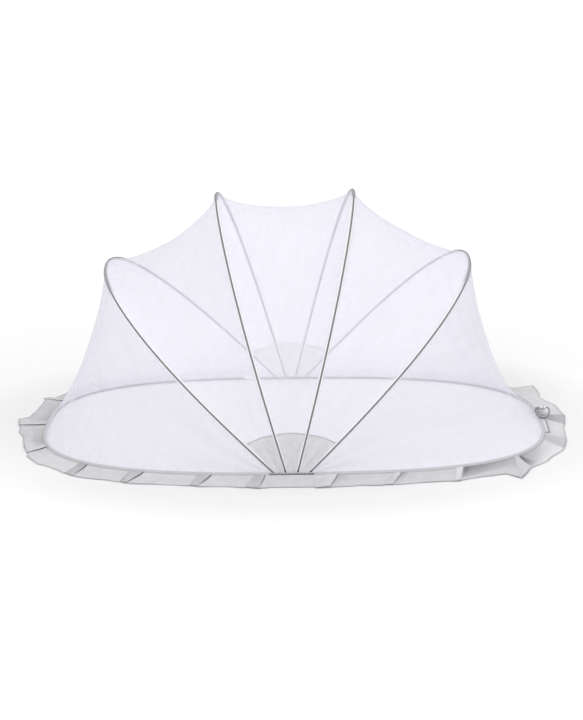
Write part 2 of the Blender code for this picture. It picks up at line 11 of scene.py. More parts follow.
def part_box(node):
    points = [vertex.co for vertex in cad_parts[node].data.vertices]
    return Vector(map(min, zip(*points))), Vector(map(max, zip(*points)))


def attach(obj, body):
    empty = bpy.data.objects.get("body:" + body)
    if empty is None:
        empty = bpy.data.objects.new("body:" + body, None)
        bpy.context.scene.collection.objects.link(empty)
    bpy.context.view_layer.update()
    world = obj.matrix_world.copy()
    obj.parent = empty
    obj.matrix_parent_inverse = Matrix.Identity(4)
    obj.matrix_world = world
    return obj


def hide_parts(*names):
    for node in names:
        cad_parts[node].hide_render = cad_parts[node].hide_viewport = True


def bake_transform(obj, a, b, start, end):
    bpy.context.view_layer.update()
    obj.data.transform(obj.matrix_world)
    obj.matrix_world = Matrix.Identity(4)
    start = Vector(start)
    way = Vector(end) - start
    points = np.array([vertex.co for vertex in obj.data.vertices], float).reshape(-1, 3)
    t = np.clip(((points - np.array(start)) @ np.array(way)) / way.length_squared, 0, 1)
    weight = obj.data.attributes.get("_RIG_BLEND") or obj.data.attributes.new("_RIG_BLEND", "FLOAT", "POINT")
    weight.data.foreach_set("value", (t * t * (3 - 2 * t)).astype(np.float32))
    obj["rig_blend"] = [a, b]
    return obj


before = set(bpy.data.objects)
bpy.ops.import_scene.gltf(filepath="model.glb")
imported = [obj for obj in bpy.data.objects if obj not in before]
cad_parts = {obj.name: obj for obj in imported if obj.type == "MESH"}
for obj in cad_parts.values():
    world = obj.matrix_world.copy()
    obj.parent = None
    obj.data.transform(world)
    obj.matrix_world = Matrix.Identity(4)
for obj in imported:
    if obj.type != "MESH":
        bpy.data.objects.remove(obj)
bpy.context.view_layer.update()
print("frame loaded:", len(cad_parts), "nodes")

up = Vector((0, 0, 1))
farBelow = (0, 0, -50)  # what lies on the floor faces away from here
sideSign = {"right": 1, "left": -1}


# Camera, lamps and floor

camera = {"location": (-0.00784, -3.04644, 1.16660), "target": (-0.00393, 0.1259, 0.10659),
          "lens": 72.74, "roll": -0.00946}
light = {"world": 0.57, "target": (0, 0, 0.1),  # then each lamp's place, size and power
         "lamps": {"key": ((-4.5, -8.5, 9.8), 8.0, 720.0), "fill": ((8.4, -4.4, 4.8), 6.0, 250.0),
                   "back": ((1.5, 6.9, 10.2), 4.8, 170.0)}}
floor = {"size": 60.0, "albedo": 0.88, "drop": 0.0004, "spread": 1.45,  # spread: how oval the lifts lie
         "lifts": ((0.48, 0.01), (0.62, 0.04), (0.85, 0.13), (4.50, 0.50))}


def aimAt(thing, target, roll=0.0):
    way = Vector(target) - thing.location
    thing.rotation_mode = "QUATERNION"
    thing.rotation_quaternion = way.to_track_quat("-Z", "Y") @ Quaternion((0, 0, 1), roll)


def makeCamera():
    lens = bpy.data.cameras.new("camera")
    lens.lens = camera["lens"]
    shot = bpy.data.objects.new("camera", lens)
    bpy.context.scene.collection.objects.link(shot)
    shot.location = camera["location"]
    aimAt(shot, camera["target"], camera["roll"])
    bpy.context.scene.camera = shot


def makeLamp(name, place, size, power):
    lamp = bpy.data.lights.new(name, "AREA")
    lamp.size = size
    lamp.energy = power
    holder = bpy.data.objects.new(name, lamp)
    bpy.context.scene.collection.objects.link(holder)
    holder.location = place
    aimAt(holder, light["target"])


# Small helpers for node trees

noiseSpan = (0.3, 0.7)  # most of a noise lies between these two
blotchSpan = (0.35, 0.65)
stitchSpan = (-0.45, -0.15)  # where a gap passes into a stitch, on the wave along a row


def setInputs(tree, node, inputs):
    for socket, value in inputs.items():
        if isinstance(value, bpy.types.NodeSocket):
            tree.links.new(value, node.inputs[socket])
        else:
            node.inputs[socket].default_value = value


def addNode(tree, kind, inputs=(), **settings):
    made = tree.nodes.new(kind)
    for name, value in settings.items():
        setattr(made, name, value)
    setInputs(tree, made, dict(inputs))
    return made


def mathOf(tree, operation, first, second=0.0):
    return addNode(tree, "ShaderNodeMath", {0: first, 1: second}, operation=operation).outputs[0]


def timesOf(tree, first, second):
    return mathOf(tree, "MULTIPLY", first, second)


def sumOf(tree, total, *parts):
    for part in parts:
        total = mathOf(tree, "ADD", total, part)
    return total


def rangeOf(tree, value, low, high, toLow=0.0, toHigh=1.0, kind="LINEAR"):
    inputs = {"Value": value, "From Min": low, "From Max": high, "To Min": toLow, "To Max": toHigh}
    return addNode(tree, "ShaderNodeMapRange", inputs, interpolation_type=kind).outputs[0]


def mixOf(tree, share, first, second):
    return addNode(tree, "ShaderNodeMix", {0: share, 6: first, 7: second}, data_type="RGBA").outputs[2]


def noiseOf(tree, place, scale, detail, stretch=(1, 1, 1)):
    moved = addNode(tree, "ShaderNodeMapping", {"Vector": place, "Scale": stretch}).outputs[0]
    return addNode(tree, "ShaderNodeTexNoise", {"Vector": moved, "Scale": scale, "Detail": detail}).outputs[0]


def layerOf(tree, name):
    return addNode(tree, "ShaderNodeAttribute", attribute_name=name).outputs["Fac"]


def solidPlace(tree):
    return addNode(tree, "ShaderNodeTexCoord").outputs["Object"]


def clothPlace(tree):
    along, across = layerOf(tree, "along"), layerOf(tree, "across")
    return along, across, addNode(tree, "ShaderNodeCombineXYZ", {0: along, 1: across}).outputs[0]


def waveOf(tree, place, pitch):
    return mathOf(tree, "SINE", timesOf(tree, place, 2 * math.pi / pitch))


def seenOf(tree):
    # 1 on the rays that show the surroundings: to the camera, in gloss and through glass
    rays = addNode(tree, "ShaderNodeLightPath").outputs
    seen = mathOf(tree, "MAXIMUM", rays["Is Camera Ray"], rays["Is Glossy Ray"])
    return mathOf(tree, "MAXIMUM", seen, rays["Is Transmission Ray"])


def tone(red, green, blue):
    # a colour as it shows on a screen, made linear
    linear = [((part / 255 + 0.055) / 1.055) ** 2.4 for part in (red, green, blue)]
    return (*linear, 1)


def newMaterial(name, roughness=0.85, metallic=0.0, sheen=0.0):
    material = bpy.data.materials.new(name)
    material.use_nodes = True
    tree = material.node_tree
    shader = tree.nodes["Principled BSDF"]
    setInputs(tree, shader, {"Roughness": roughness, "Metallic": metallic, "Sheen Weight": sheen})
    return material, tree, shader


def bumpOf(tree, shader, height, strength, distance):
    bump = addNode(tree, "ShaderNodeBump", {"Height": height, "Strength": strength, "Distance": distance})
    setInputs(tree, shader, {"Normal": bump.outputs[0]})


def blotchOf(tree, place, cloth):
    share = rangeOf(tree, noiseOf(tree, place, *cloth["blotches"]), *blotchSpan)
    return mixOf(tree, share, cloth["tone"], cloth["blotch"])


def dashesOf(tree, along, across, place, pitch, width):
    # 1 on a row of stitches at a place across the cloth
    away = mathOf(tree, "ABSOLUTE", mathOf(tree, "SUBTRACT", across, place))
    row = rangeOf(tree, away, width / 2, width, 1.0, 0.0)
    return timesOf(tree, row, rangeOf(tree, waveOf(tree, along, pitch), *stitchSpan))


def stitchedOf(tree, colour, dashes, cloth):
    return mixOf(tree, timesOf(tree, dashes, cloth["stitchShare"]), colour, cloth["stitchTone"])


def creasesOf(tree, place, cloth):
    return timesOf(tree, noiseOf(tree, place, *cloth["creases"]), cloth["creaseDepth"])


def clothBump(tree, shader, along, across, cloth, *reliefs):
    # the weave, with what else stands up from it or is drawn in
    weave = timesOf(tree, waveOf(tree, along, cloth["weave"]), waveOf(tree, across, cloth["weave"]))
    bumpOf(tree, shader, sumOf(tree, weave, *reliefs), *cloth["bump"])


def grainOf(tree, finish):
    # the grain of a hard surface, and its colour
    grain = noiseOf(tree, solidPlace(tree), *finish["grain"])
    return grain, mixOf(tree, grain, finish["tone"], finish["worn"])


def glossOf(tree, grain, finish):
    return rangeOf(tree, grain, *noiseSpan, *finish["gloss"])


# Floor and surroundings: white to the camera, a plain level of light for the tent

def makeSurroundings():
    world = bpy.data.worlds.new("surroundings")
    bpy.context.scene.world = world
    world.use_nodes = True
    tree = world.node_tree
    strength = rangeOf(tree, seenOf(tree), 0.0, 1.0, light["world"], 1.0)
    setInputs(tree, tree.nodes["Background"], {"Strength": strength, "Color": (1, 1, 1, 1)})
    for name, (place, size, power) in light["lamps"].items():
        makeLamp(name, place, size, power)


def makeFloor():
    material, tree, shader = newMaterial("floor", roughness=0.95)
    oval = addNode(tree, "ShaderNodeMapping", {"Vector": solidPlace(tree), "Scale": (1, floor["spread"], 1)})
    reach = addNode(tree, "ShaderNodeVectorMath", {0: oval.outputs[0]}, operation="LENGTH").outputs["Value"]
    # the lifts are painted glow on the floor, seen by the camera only: lowest near the tent, so that the
    # tent's shadow shows there, rising to white further out
    lift = floor["lifts"][0][1]
    for (near, low), (far, high) in zip(floor["lifts"], floor["lifts"][1:]):
        lift = sumOf(tree, lift, rangeOf(tree, reach, near, far, 0.0, high - low, "SMOOTHSTEP"))
    setInputs(tree, shader, {"Base Color": (floor["albedo"],) * 3 + (1,), "Specular IOR Level": 0.0,
                             "Emission Color": (1, 1, 1, 1),
                             "Emission Strength": timesOf(tree, seenOf(tree), lift)})
    shape = bmesh.new()
    bmesh.ops.create_grid(shape, x_segments=1, y_segments=1, size=floor["size"] / 2,
                          matrix=Matrix.Translation((0, 0, -floor["drop"])))
    finishPiece("floor", shape, material)


def finishPiece(name, shape, material, smoothAngle=50):
    mesh = bpy.data.meshes.new(name)
    shape.to_mesh(mesh)
    shape.free()
    mesh.shade_smooth()
    mesh.set_sharp_from_angle(angle=math.radians(smoothAngle))
    mesh.materials.append(material)
    piece = bpy.data.objects.new(name, mesh)
    bpy.context.scene.collection.objects.link(piece)
    return piece


bpy.context.scene.view_settings.view_transform = "Standard"
makeCamera()
makeSurroundings()
makeFloor()
print("camera, lamps and floor ready")


# Curves of the base wire and the hoops, as dense rows of points read by their length

base = {"halfLength": 0.550, "halfWidth": 0.300, "fullness": 2.85, "seam": 0.00015, "steps": 2400}
hoops = {
    "outer_right": {"tilt": 43.0, "reach": 0.516, "side": 2.70, "top": 2.20},
    "inner_right": {"tilt": 13.5, "reach": 0.538, "side": 2.65, "top": 1.82},
    "inner_left": {"tilt": -15.5, "reach": 0.538, "side": 2.65, "top": 1.82},
    "outer_left": {"tilt": -44.5, "reach": 0.516, "side": 2.70, "top": 2.20},
}


def powered(value, exponent):
    return np.sign(value) * np.abs(value) ** exponent


def runOf(points):
    return np.concatenate([[0.0], np.cumsum(np.linalg.norm(np.diff(points, axis=0), axis=1))])


def curveOf(points):
    # the points with their length so far, and a measure that goes slower where the curve turns
    run = runOf(points)
    along = np.gradient(points, run, axis=0)
    along /= np.linalg.norm(along, axis=1)[:, None]
    turned = runOf(along)
    measure = (run / run[-1] + turned / turned[-1]) / 2
    return {"points": points, "run": run, "along": along, "measure": measure, "length": run[-1]}


def pointsAt(curve, distances, row="points"):
    return np.stack([np.interp(distances, curve["run"], curve[row][:, k]) for k in range(3)], axis=-1)


def evenly(curve, start, end, count):
    low, high = np.interp([start, end], curve["run"], curve["measure"])
    return np.interp(np.linspace(low, high, count + 1), curve["measure"], curve["run"])


def footOf(name):
    low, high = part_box("hem_pocket_front_" + name)
    return (low.x + high.x) / 2, (low.z + high.z) / 2


def hoopCurve(name):
    hoop = hoops[name]
    footX, footZ = footOf(name)
    turn = np.linspace(-math.pi / 2, math.pi / 2, base["steps"])
    height = hoop["reach"] * np.abs(np.cos(turn)) ** (2 / hoop["side"])
    tilt = math.radians(hoop["tilt"])
    y = base["halfWidth"] * powered(np.sin(turn), 2 / hoop["top"])
    return curveOf(np.stack([footX + height * math.sin(tilt), y, footZ + height * math.cos(tilt)], axis=1))


wireHeight = footOf("outer_right")[1]
foldX = [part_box("hem_pocket_front_" + name)[1].x + base["seam"] for name in hoops]
foldX.append(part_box("hem_pocket_front_outer_left")[0].x - base["seam"])


def baseCurve(side):
    # one half of the base wire from its front fold line round to its back one
    turn = np.linspace(0, math.pi, base["steps"])
    x = base["halfLength"] * powered(np.sin(turn), 2 / base["fullness"])
    y = -base["halfWidth"] * powered(np.cos(turn), 2 / base["fullness"])
    whole = curveOf(np.stack([x, y, np.full(base["steps"], wireHeight)], axis=1))
    edge = abs(foldX[0] if side == "right" else foldX[-1]) + base["seam"]
    quarter = base["steps"] // 4
    start = float(np.interp(edge, x[:quarter], whole["run"][:quarter]))
    points = pointsAt(whole, np.linspace(start, whole["length"] - start, base["steps"]))
    points[:, 0] *= sideSign[side]
    return curveOf(points), start, whole["length"]


curves = {"hoop_" + name: hoopCurve(name) for name in hoops}
baseStart = {}
for side in sideSign:
    curves["base_" + side], baseStart[side], halfRing = baseCurve(side)
tentCentre = np.array([(foldX[0] + foldX[-1]) / 2, 0, wireHeight])


def planeNormal(body):
    if body.startswith("base_"):
        return up
    tilt = math.radians(hoops[body[len("hoop_"):]]["tilt"])
    return Vector((math.cos(tilt), 0, -math.sin(tilt)))


def framesAlong(body, distances):
    # a matrix at each distance: its X is the normal of the curve's plane, its Y points out, its Z runs along
    curve = curves[body]
    side = planeNormal(body)
    frames = []
    for point, along in zip(pointsAt(curve, distances), pointsAt(curve, distances, "along")):
        along = Vector(along).normalized()
        out = along.cross(side).normalized()
        if out.dot(Vector(point) - Vector(tentCentre)) < 0:
            out.negate()
        turn = Matrix((side, out, along)).transposed().to_4x4()
        frames.append(Matrix.Translation(point) @ turn)
    return frames


# Shape helpers: a cloth laid from a grid, a section drawn along frames, and the solid that a piece stands for

def clothPiece(name, columns, rows, place, centre, material):
    # place gives each point of the grid and its layers of values; the faces point away from the centre
    shape = bmesh.new()
    bmesh.ops.create_grid(shape, x_segments=columns, y_segments=rows, size=0.5)
    shares = np.array([vert.co.to_tuple() for vert in shape.verts]) + 0.5
    points, layers = place(shares[:, 0], shares[:, 1])
    for layerName, values in layers.items():
        layer = shape.verts.layers.float.new(layerName)
        for vert, value in zip(shape.verts, values):
            vert[layer] = value
    for vert, point in zip(shape.verts, points):
        vert.co = point
    for face in shape.faces:
        face.normal_update()
    outward = sum(face.normal.dot(face.calc_center_median() - Vector(centre)) for face in shape.faces)
    if outward < 0:
        bmesh.ops.reverse_faces(shape, faces=shape.faces[:])
    return finishPiece(name, shape, material)


def sweep(frames, section, across, distances, closed=False):
    # draws a ring of section points along the frames, by extruding and moving each ring
    shape = bmesh.new()
    alongLayer = shape.verts.layers.float.new("along")
    acrossLayer = shape.verts.layers.float.new("across")
    ring = bmesh.ops.create_circle(shape, segments=len(section), radius=1.0)["verts"]
    for vert, (side, out), value in zip(ring, section, across):
        vert.co = frames[0] @ Vector((side, out, 0))
        vert[alongLayer] = distances[0]
        vert[acrossLayer] = value
    first = edges = list({edge for vert in ring for edge in vert.link_edges})
    for before, after, distance in zip(frames, frames[1:], distances[1:]):
        made = bmesh.ops.extrude_edge_only(shape, edges=edges)["geom"]
        edges = [part for part in made if isinstance(part, bmesh.types.BMEdge)]
        ring = [part for part in made if isinstance(part, bmesh.types.BMVert)]
        bmesh.ops.transform(shape, matrix=after @ before.inverted(), verts=ring)
        for vert in ring:
            vert[alongLayer] = distance
    if closed:
        bmesh.ops.bridge_loops(shape, edges=first + edges)
    else:
        bmesh.ops.edgeloop_fill(shape, edges=first)
        bmesh.ops.edgeloop_fill(shape, edges=edges)
    bmesh.ops.recalc_face_normals(shape, faces=shape.faces[:])
    return shape


def roundSection(radius, sides):
    turns = [2 * math.pi * k / sides for k in range(sides)]
    return [(radius * math.cos(turn), radius * math.sin(turn)) for turn in turns]


def standFor(piece, node, body=None):
    if body:  # a piece that is blended across two bodies names none here
        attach(piece, body)
    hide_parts(node)


# Netting: five panels of a fine six-sided mesh, each hung between two edges

# skew: below 1, the sag lies nearer the first edge. folds: place and width of each, as shares of the length
nets = {
    "right_end": {"node": "net_end_right", "edges": ("base_right", "hoop_outer_right"), "start": 0.006,
                  "arc": 0.0, "sag": 0.096, "steep": 0.90, "skew": 0.76, "columns": 60,
                  "folds": ((0.44, 0.012), (0.53, 0.010), (0.60, 0.012), (0.68, 0.010), (0.74, 0.010))},
    "right": {"node": "net_right", "edges": ("hoop_outer_right", "hoop_inner_right"), "start": 0.0885,
              "arc": 0.003, "sag": 0.085, "steep": 0.6, "skew": 1.0, "columns": 40,
              "folds": ((0.45, 0.012), (0.485, 0.009), (0.54, 0.010), (0.60, 0.012))},
    "top": {"node": "net_top", "edges": ("hoop_inner_right", "hoop_inner_left"), "start": 0.0885,
            "arc": 0.003, "sag": 0.115, "steep": 0.6, "skew": 1.0, "columns": 40,
            "folds": ((0.47, 0.010), (0.53, 0.012))},
    "left": {"node": "net_left", "edges": ("hoop_inner_left", "hoop_outer_left"), "start": 0.0885,
             "arc": 0.003, "sag": 0.120, "steep": 0.6, "skew": 1.0, "columns": 40,
             "folds": ((0.46, 0.012), (0.51, 0.009), (0.57, 0.012))},
    "left_end": {"node": "net_end_left", "edges": ("hoop_outer_left", "base_left"), "start": 0.006,
                 "arc": 0.0, "sag": 0.062, "steep": 0.8, "skew": 1.0, "columns": 60,
                 "folds": ((0.40, 0.012), (0.46, 0.009), (0.52, 0.012), (0.58, 0.010))},
}
netCloth = {"colour": tone(243, 241, 252), "mesh": 0.0017, "cell": (-1.4, 1.6), "thread": 0.74, "hole": 0.36,
            "grain": (34.0, 4.0, (0.2, 1.0, 1.0)), "streak": 0.035, "crowd": 0.14, "shadow": 0.6,
            "gloss": 0.1, "bump": (0.3, 0.0002), "rows": 170, "seed": 1.7, "hold": 0.0016, "ease": 1.02,
            "gather": 0.0010, "gatherPitch": 0.017, "gatherReach": 0.022, "gatherStart": 0.004,
            "wander": 2.2, "wanderPitch": 0.23, "waves": (23, 5, 9), "waveDepth": 0.0014,
            "loose": 1.5, "looseDepth": 0.0008}


def makeNetting():
    material, tree, shader = newMaterial("fine_netting", roughness=0.9)
    along, across, place = clothPlace(tree)
    pitch = netCloth["mesh"]
    half = timesOf(tree, along, -0.5)
    lean = math.sqrt(3) / 2
    slanted = [sumOf(tree, timesOf(tree, across, side), half) for side in (lean, -lean)]
    cell = sumOf(tree, *[waveOf(tree, sumOf(tree, way, pitch / 4), pitch) for way in (along, *slanted)])
    cover = rangeOf(tree, cell, *netCloth["cell"], netCloth["thread"], netCloth["hole"])
    grain = noiseOf(tree, place, *netCloth["grain"])
    streak = rangeOf(tree, grain, *noiseSpan, -netCloth["streak"], netCloth["streak"])
    cover = sumOf(tree, cover, streak, timesOf(tree, layerOf(tree, "crowd"), netCloth["crowd"]))
    rays = addNode(tree, "ShaderNodeLightPath").outputs
    lit = mathOf(tree, "MAXIMUM", rays["Is Shadow Ray"], rays["Is Diffuse Ray"])
    shown = rangeOf(tree, lit, 0.0, 1.0, 1.0, netCloth["shadow"])  # fine threads shade less than they show
    setInputs(tree, shader, {"Base Color": netCloth["colour"], "Specular IOR Level": netCloth["gloss"],
                             "Alpha": timesOf(tree, cover, shown)})
    bumpOf(tree, shader, timesOf(tree, cell, -1.0), *netCloth["bump"])
    return material


def edgePoints(body, share, inset):
    # points at a share of the way along an edge that is left short by the inset at both ends
    curve = curves[body]
    low = np.interp(inset, curve["run"], curve["measure"])
    high = np.interp(curve["length"] - inset, curve["run"], curve["measure"])
    distance = np.interp(low + (high - low) * share, curve["measure"], curve["run"])
    return pointsAt(curve, distance), pointsAt(curve, distance, "along"), distance


def unit(rows):
    return rows / np.maximum(np.linalg.norm(rows, axis=-1, keepdims=True), 1e-9)


def netPlace(net, seed):
    alongWaves, acrossWaves, crossWaves = netCloth["waves"]

    def place(across, along):
        inset = net["start"] + net["arc"] * np.sin(math.pi * across)
        first, firstWay, distance = edgePoints(net["edges"][0], along, inset)
        second, secondWay, _ = edgePoints(net["edges"][1], along, inset)
        span = np.linalg.norm(second - first, axis=1)
        over = unit(second - first)
        low = first + over * netCloth["hold"]
        high = second - over * netCloth["hold"]
        inward = unit(np.cross(over, unit(firstWay + secondWay)))
        inward *= np.sign(np.sum(inward * (tentCentre - (low + high) / 2), axis=1))[:, None]
        bow = np.sin(math.pi * across ** net["skew"]) ** net["steep"]
        bow = bow * np.maximum(np.sin(math.pi * along), 0) ** 0.5
        edge = np.minimum(across, 1 - across) * span
        near = np.exp(-edge / netCloth["gatherReach"])
        phase = 2 * math.pi * distance / netCloth["gatherPitch"] + seed
        wander = netCloth["wander"] * np.sin(phase * netCloth["wanderPitch"] + seed)
        ripple = np.sin(phase + wander) * near * (1 - np.exp(-edge / netCloth["gatherStart"]))
        wave = np.sin(along * alongWaves + across * acrossWaves + seed)
        wave = wave * np.sin(across * crossWaves + seed * 2) * np.sin(math.pi * across) ** 2
        loose = sum(np.exp(-((along - at) / wide) ** 2) for at, wide in net["folds"])
        loose *= np.sin(math.pi * across) ** 0.5
        depth = net["sag"] * bow * span + netCloth["gather"] * ripple
        depth = depth + netCloth["waveDepth"] * wave + netCloth["looseDepth"] * loose
        points = low + (high - low) * across[:, None] + inward * depth[:, None]
        crowd = near * (0.5 + 0.5 * ripple) + loose * netCloth["loose"]
        return points, {"along": distance, "across": across * span, "share": across, "crowd": crowd}
    return place


def layerValues(piece, name):
    values = np.zeros(len(piece.data.vertices), np.float32)
    piece.data.attributes[name].data.foreach_get("value", values)
    return values


def blendAcross(piece, first, second):
    # a panel turns with its first edge, its second edge, and evenly between them
    shares = layerValues(piece, "share")
    xs = [vert.co.x for vert in piece.data.vertices]
    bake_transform(piece, first, second, start=(max(xs), 0, 0), end=(min(xs), 0, 0))
    piece.data.attributes["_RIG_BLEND"].data.foreach_set("value", shares)


def clothWidth(piece):
    # the widest the panel is from edge to edge, along the cloth
    places = layerValues(piece, "across")
    return float(places.max() - places.min())


def makeNets():
    material = makeNetting()
    for seed, (name, net) in enumerate(nets.items()):
        place = netPlace(net, seed * netCloth["seed"])
        piece = clothPiece("netting_" + name, net["columns"], netCloth["rows"], place, tentCentre, material)
        blendAcross(piece, *net["edges"])
        standFor(piece, net["node"])
        clothWidth(piece)


makeNets()
print("netting hung:", len(nets), "panels")


# Hoop tapes: a thin tape over the wire, painted dark grey over the wire, partly for the wire showing through
# it and partly as painted shade on its bulge, with a white stitched edge on each side

tape = {"core": 0.0019, "reach": 0.0043, "droop": 0.0008, "thick": 0.00045, "start": 0.0042, "steps": 150,
        "crown": (150, 120, 90, 60, 38), "finTurn": 20,  # degrees round the wire
        "taper": (1.0, 0.8, 0.3),  # how thick the fin is at its root, middle and edge
        "wireAndShadeTone": tone(128, 129, 134), "wireAndShadeBlotch": tone(112, 113, 118), "edgeTone": tone(250, 250, 251),
        "darkFrom": 0.0015, "darkTo": 0.0022, "grain": (900.0, 2.0, (0.3, 1.0, 1.0)),
        "crestTone": tone(158, 158, 163), "crest": (0.0, 0.35, 0.0, 0.85),  # from and to, and their shares
        "crestReach": {"outer_right": 0.17, "inner_right": 0.05, "inner_left": 0.05, "outer_left": 0.17},
        "stitches": (0.0036, 0.0030, 0.0004), "stitchTone": tone(190, 190, 195), "stitchShare": 0.5,
        "weave": 0.0007, "bump": (0.35, 0.0002)}


def makeTape():
    material, tree, shader = newMaterial("hoop_tape", roughness=0.8)
    along, across, place = clothPlace(tree)
    # the middle of the tape is painted dark grey: the wire showing through, and painted shade on the bulge
    # over it
    core = mixOf(tree, noiseOf(tree, place, *tape["grain"]), tape["wireAndShadeTone"], tape["wireAndShadeBlotch"])
    edge = rangeOf(tree, across, tape["darkFrom"], tape["darkTo"], kind="SMOOTHSTEP")
    colour = mixOf(tree, edge, core, tape["edgeTone"])
    # the tape is painted darker near the top of each hoop
    crestDarkening = rangeOf(tree, layerOf(tree, "crest"), *tape["crest"], "SMOOTHSTEP")
    colour = mixOf(tree, crestDarkening, colour, tape["crestTone"])
    dashes = dashesOf(tree, along, across, *tape["stitches"])
    setInputs(tree, shader, {"Base Color": stitchedOf(tree, colour, dashes, tape)})
    clothBump(tree, shader, along, across, tape, timesOf(tree, dashes, -1.0))
    return material


def tapeSection():
    # crowned over the wire, with a fin on each side that droops and thins towards its edge
    core, reach, thick = tape["core"], tape["reach"], tape["thick"]
    sides = (core * math.cos(math.radians(tape["finTurn"])), (core + reach) / 2, reach)
    upper = [(side, thick * share - tape["droop"] * (side - core) / (reach - core))
             for side, share in zip(sides, tape["taper"])]
    lower = [(side, lift - 2 * thick) for side, lift in reversed(upper[1:])]
    turns = [math.radians(turn) for turn in tape["crown"]]
    crown = [(core * math.cos(turn), core * math.sin(turn)) for turn in turns]
    belly = [(side, -lift) for side, lift in reversed(crown)]
    left = [(-side, lift) for side, lift in upper]
    leftLow = [(-side, lift) for side, lift in reversed(lower)]
    return crown + upper + lower + belly + leftLow + left[::-1]


def makeHoopTapes():
    material = makeTape()
    section = tapeSection()
    for name in hoops:
        body = "hoop_" + name
        length = curves[body]["length"]
        distances = evenly(curves[body], tape["start"], length - tape["start"], tape["steps"])
        shape = sweep(framesAlong(body, distances), section, [abs(side) for side, out in section], distances)
        alongLayer = shape.verts.layers.float["along"]
        crestLayer = shape.verts.layers.float.new("crest")  # 1 at the top of the hoop, 0 past its reach
        for vert in shape.verts:
            away = abs(vert[alongLayer] - length / 2) / tape["crestReach"][name]
            vert[crestLayer] = max(0.0, 1.0 - away)
        standFor(finishPiece("tape_" + name, shape, material), "hoop_sleeve_" + name, body)


makeHoopTapes()
print("hoop tapes sewn")


# Hem round the base wire, with its seam allowance under the skirt

hem = {"radius": 0.0039, "steps": 200, "leastSteps": 12, "sides": 24,
       "tone": tone(208, 209, 214), "blotch": tone(199, 200, 206), "blotches": (70.0, 3.0),
       "paintedDark": tone(92, 93, 99), "darkFrom": -0.0031, "darkTo": -0.0036,
       "outer": tone(200, 201, 204), "outerFrom": -0.0005, "outerTo": 0.0015,
       "seam": (0.0026, 0.0034, 0.0, 0.8),  # from and to across the pockets, and their shares
       "stitches": (0.0018, 0.0030, 0.0004), "stitchTone": tone(165, 166, 172), "stitchShare": 0.45,
       "weave": 0.0008, "creases": (260.0, 1.0, (1.0, 0.3, 1.0)), "creaseDepth": 4.0, "bump": (0.4, 0.0003)}
pocket = {"corner": 0.42, "cornerSteps": 5, "rim": 0.08, "rimSteps": 2, "end": 0.49}
joint = {"place": 0.105, "length": 0.029, "collar": 0.0042, "gap": 0.0003, "sides": 24,
         "rings": ((0.0, 0.80), (0.02, 0.97), (0.05, 1.0), (0.16, 1.0), (0.19, 0.97), (0.20, 0.88),
                   (0.5, 0.88), (0.80, 0.88), (0.81, 0.97), (0.84, 1.0), (0.95, 1.0), (0.98, 0.97),
                   (1.0, 0.80)),
         "tone": tone(254, 254, 254), "worn": tone(246, 246, 247), "under": tone(236, 236, 239),
         "grain": (700.0, 2.0), "gloss": (0.30, 0.45), "bump": (0.1, 0.0002)}


def makeHemCloth():
    material, tree, shader = newMaterial("hem_cloth", sheen=0.1)
    along, across, place = clothPlace(tree)
    # painted shade: the hem is painted a little darker towards its outer side, against the light on its upper
    # face
    outer = rangeOf(tree, across, hem["outerFrom"], hem["outerTo"])
    colour = mixOf(tree, outer, blotchOf(tree, place, hem), hem["outer"])
    # painted shade: a dark line along the inner underside of the hem, and in the crevice where the pockets
    # meet the skirt
    low = rangeOf(tree, across, hem["darkFrom"], hem["darkTo"])
    seam = timesOf(tree, rangeOf(tree, across, *hem["seam"]), layerOf(tree, "seam"))
    colour = mixOf(tree, sumOf(tree, low, seam), colour, hem["paintedDark"])
    dashes = dashesOf(tree, along, across, *hem["stitches"])
    setInputs(tree, shader, {"Base Color": stitchedOf(tree, colour, dashes, hem)})
    clothBump(tree, shader, along, across, hem, creasesOf(tree, place, hem))
    return material


def hemRuns(side):
    # where each length of hem starts and ends, along its half
    length = curves["base_" + side]["length"]
    if side == "right":
        return {"": (0.0, length)}
    middle = length + baseStart[side] - joint["place"]
    reach = joint["length"] / 2 + joint["gap"]
    return {"": (0.0, middle - reach), "_back": (middle + reach, length)}


def makeHems(material):
    section = roundSection(hem["radius"], hem["sides"])
    for side in sideSign:
        body = "base_" + side
        for ending, (start, end) in hemRuns(side).items():
            count = max(hem["leastSteps"], round(hem["steps"] * (end - start) / curves[body]["length"]))
            distances = evenly(curves[body], start, end, count)
            shape = sweep(framesAlong(body, distances), section, [out for lift, out in section], distances)
            piece = finishPiece("hem_band_" + side + ending, shape, material)
            standFor(piece, "hem_" + side + ending, body)


def makePockets(material):
    # the short lengths of hem between the fold lines, each sewn round the end of a hoop
    for name in hoops:
        for where, outward in (("front", -1), ("back", 1)):
            node = "hem_pocket_" + where + "_" + name
            low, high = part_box(node)
            size = high - low
            shape = bmesh.new()
            bmesh.ops.create_cube(shape, size=1.0, matrix=Matrix.Diagonal((*size, 1)))
            lengthwise = [edge for edge in shape.edges
                          if abs(edge.verts[0].co.x - edge.verts[1].co.x) > size.x / 2]
            bmesh.ops.bevel(shape, geom=lengthwise, offset=size.z * pocket["corner"],
                            segments=pocket["cornerSteps"], profile=0.5, affect="EDGES", material=-1)
            end = size.x * pocket["end"]
            rim = [edge for edge in shape.edges if min(vert.co.x for vert in edge.verts) > end
                   or max(vert.co.x for vert in edge.verts) < -end]
            bmesh.ops.bevel(shape, geom=rim, offset=size.z * pocket["rim"],
                            segments=pocket["rimSteps"], profile=0.5, affect="EDGES", material=-1)
            # the layer seam marks the pockets for the painted crevice shade of the hem cloth
            layers = [shape.verts.layers.float.new(layer) for layer in ("along", "across", "seam")]
            for vert in shape.verts:
                for layer, value in zip(layers, (vert.co.x, vert.co.y * outward, 1.0)):
                    vert[layer] = value
            bmesh.ops.translate(shape, verts=shape.verts[:], vec=(low + high) / 2)
            piece = finishPiece("pocket_" + where + "_" + name, shape, material)
            standFor(piece, node, "hoop_" + name)


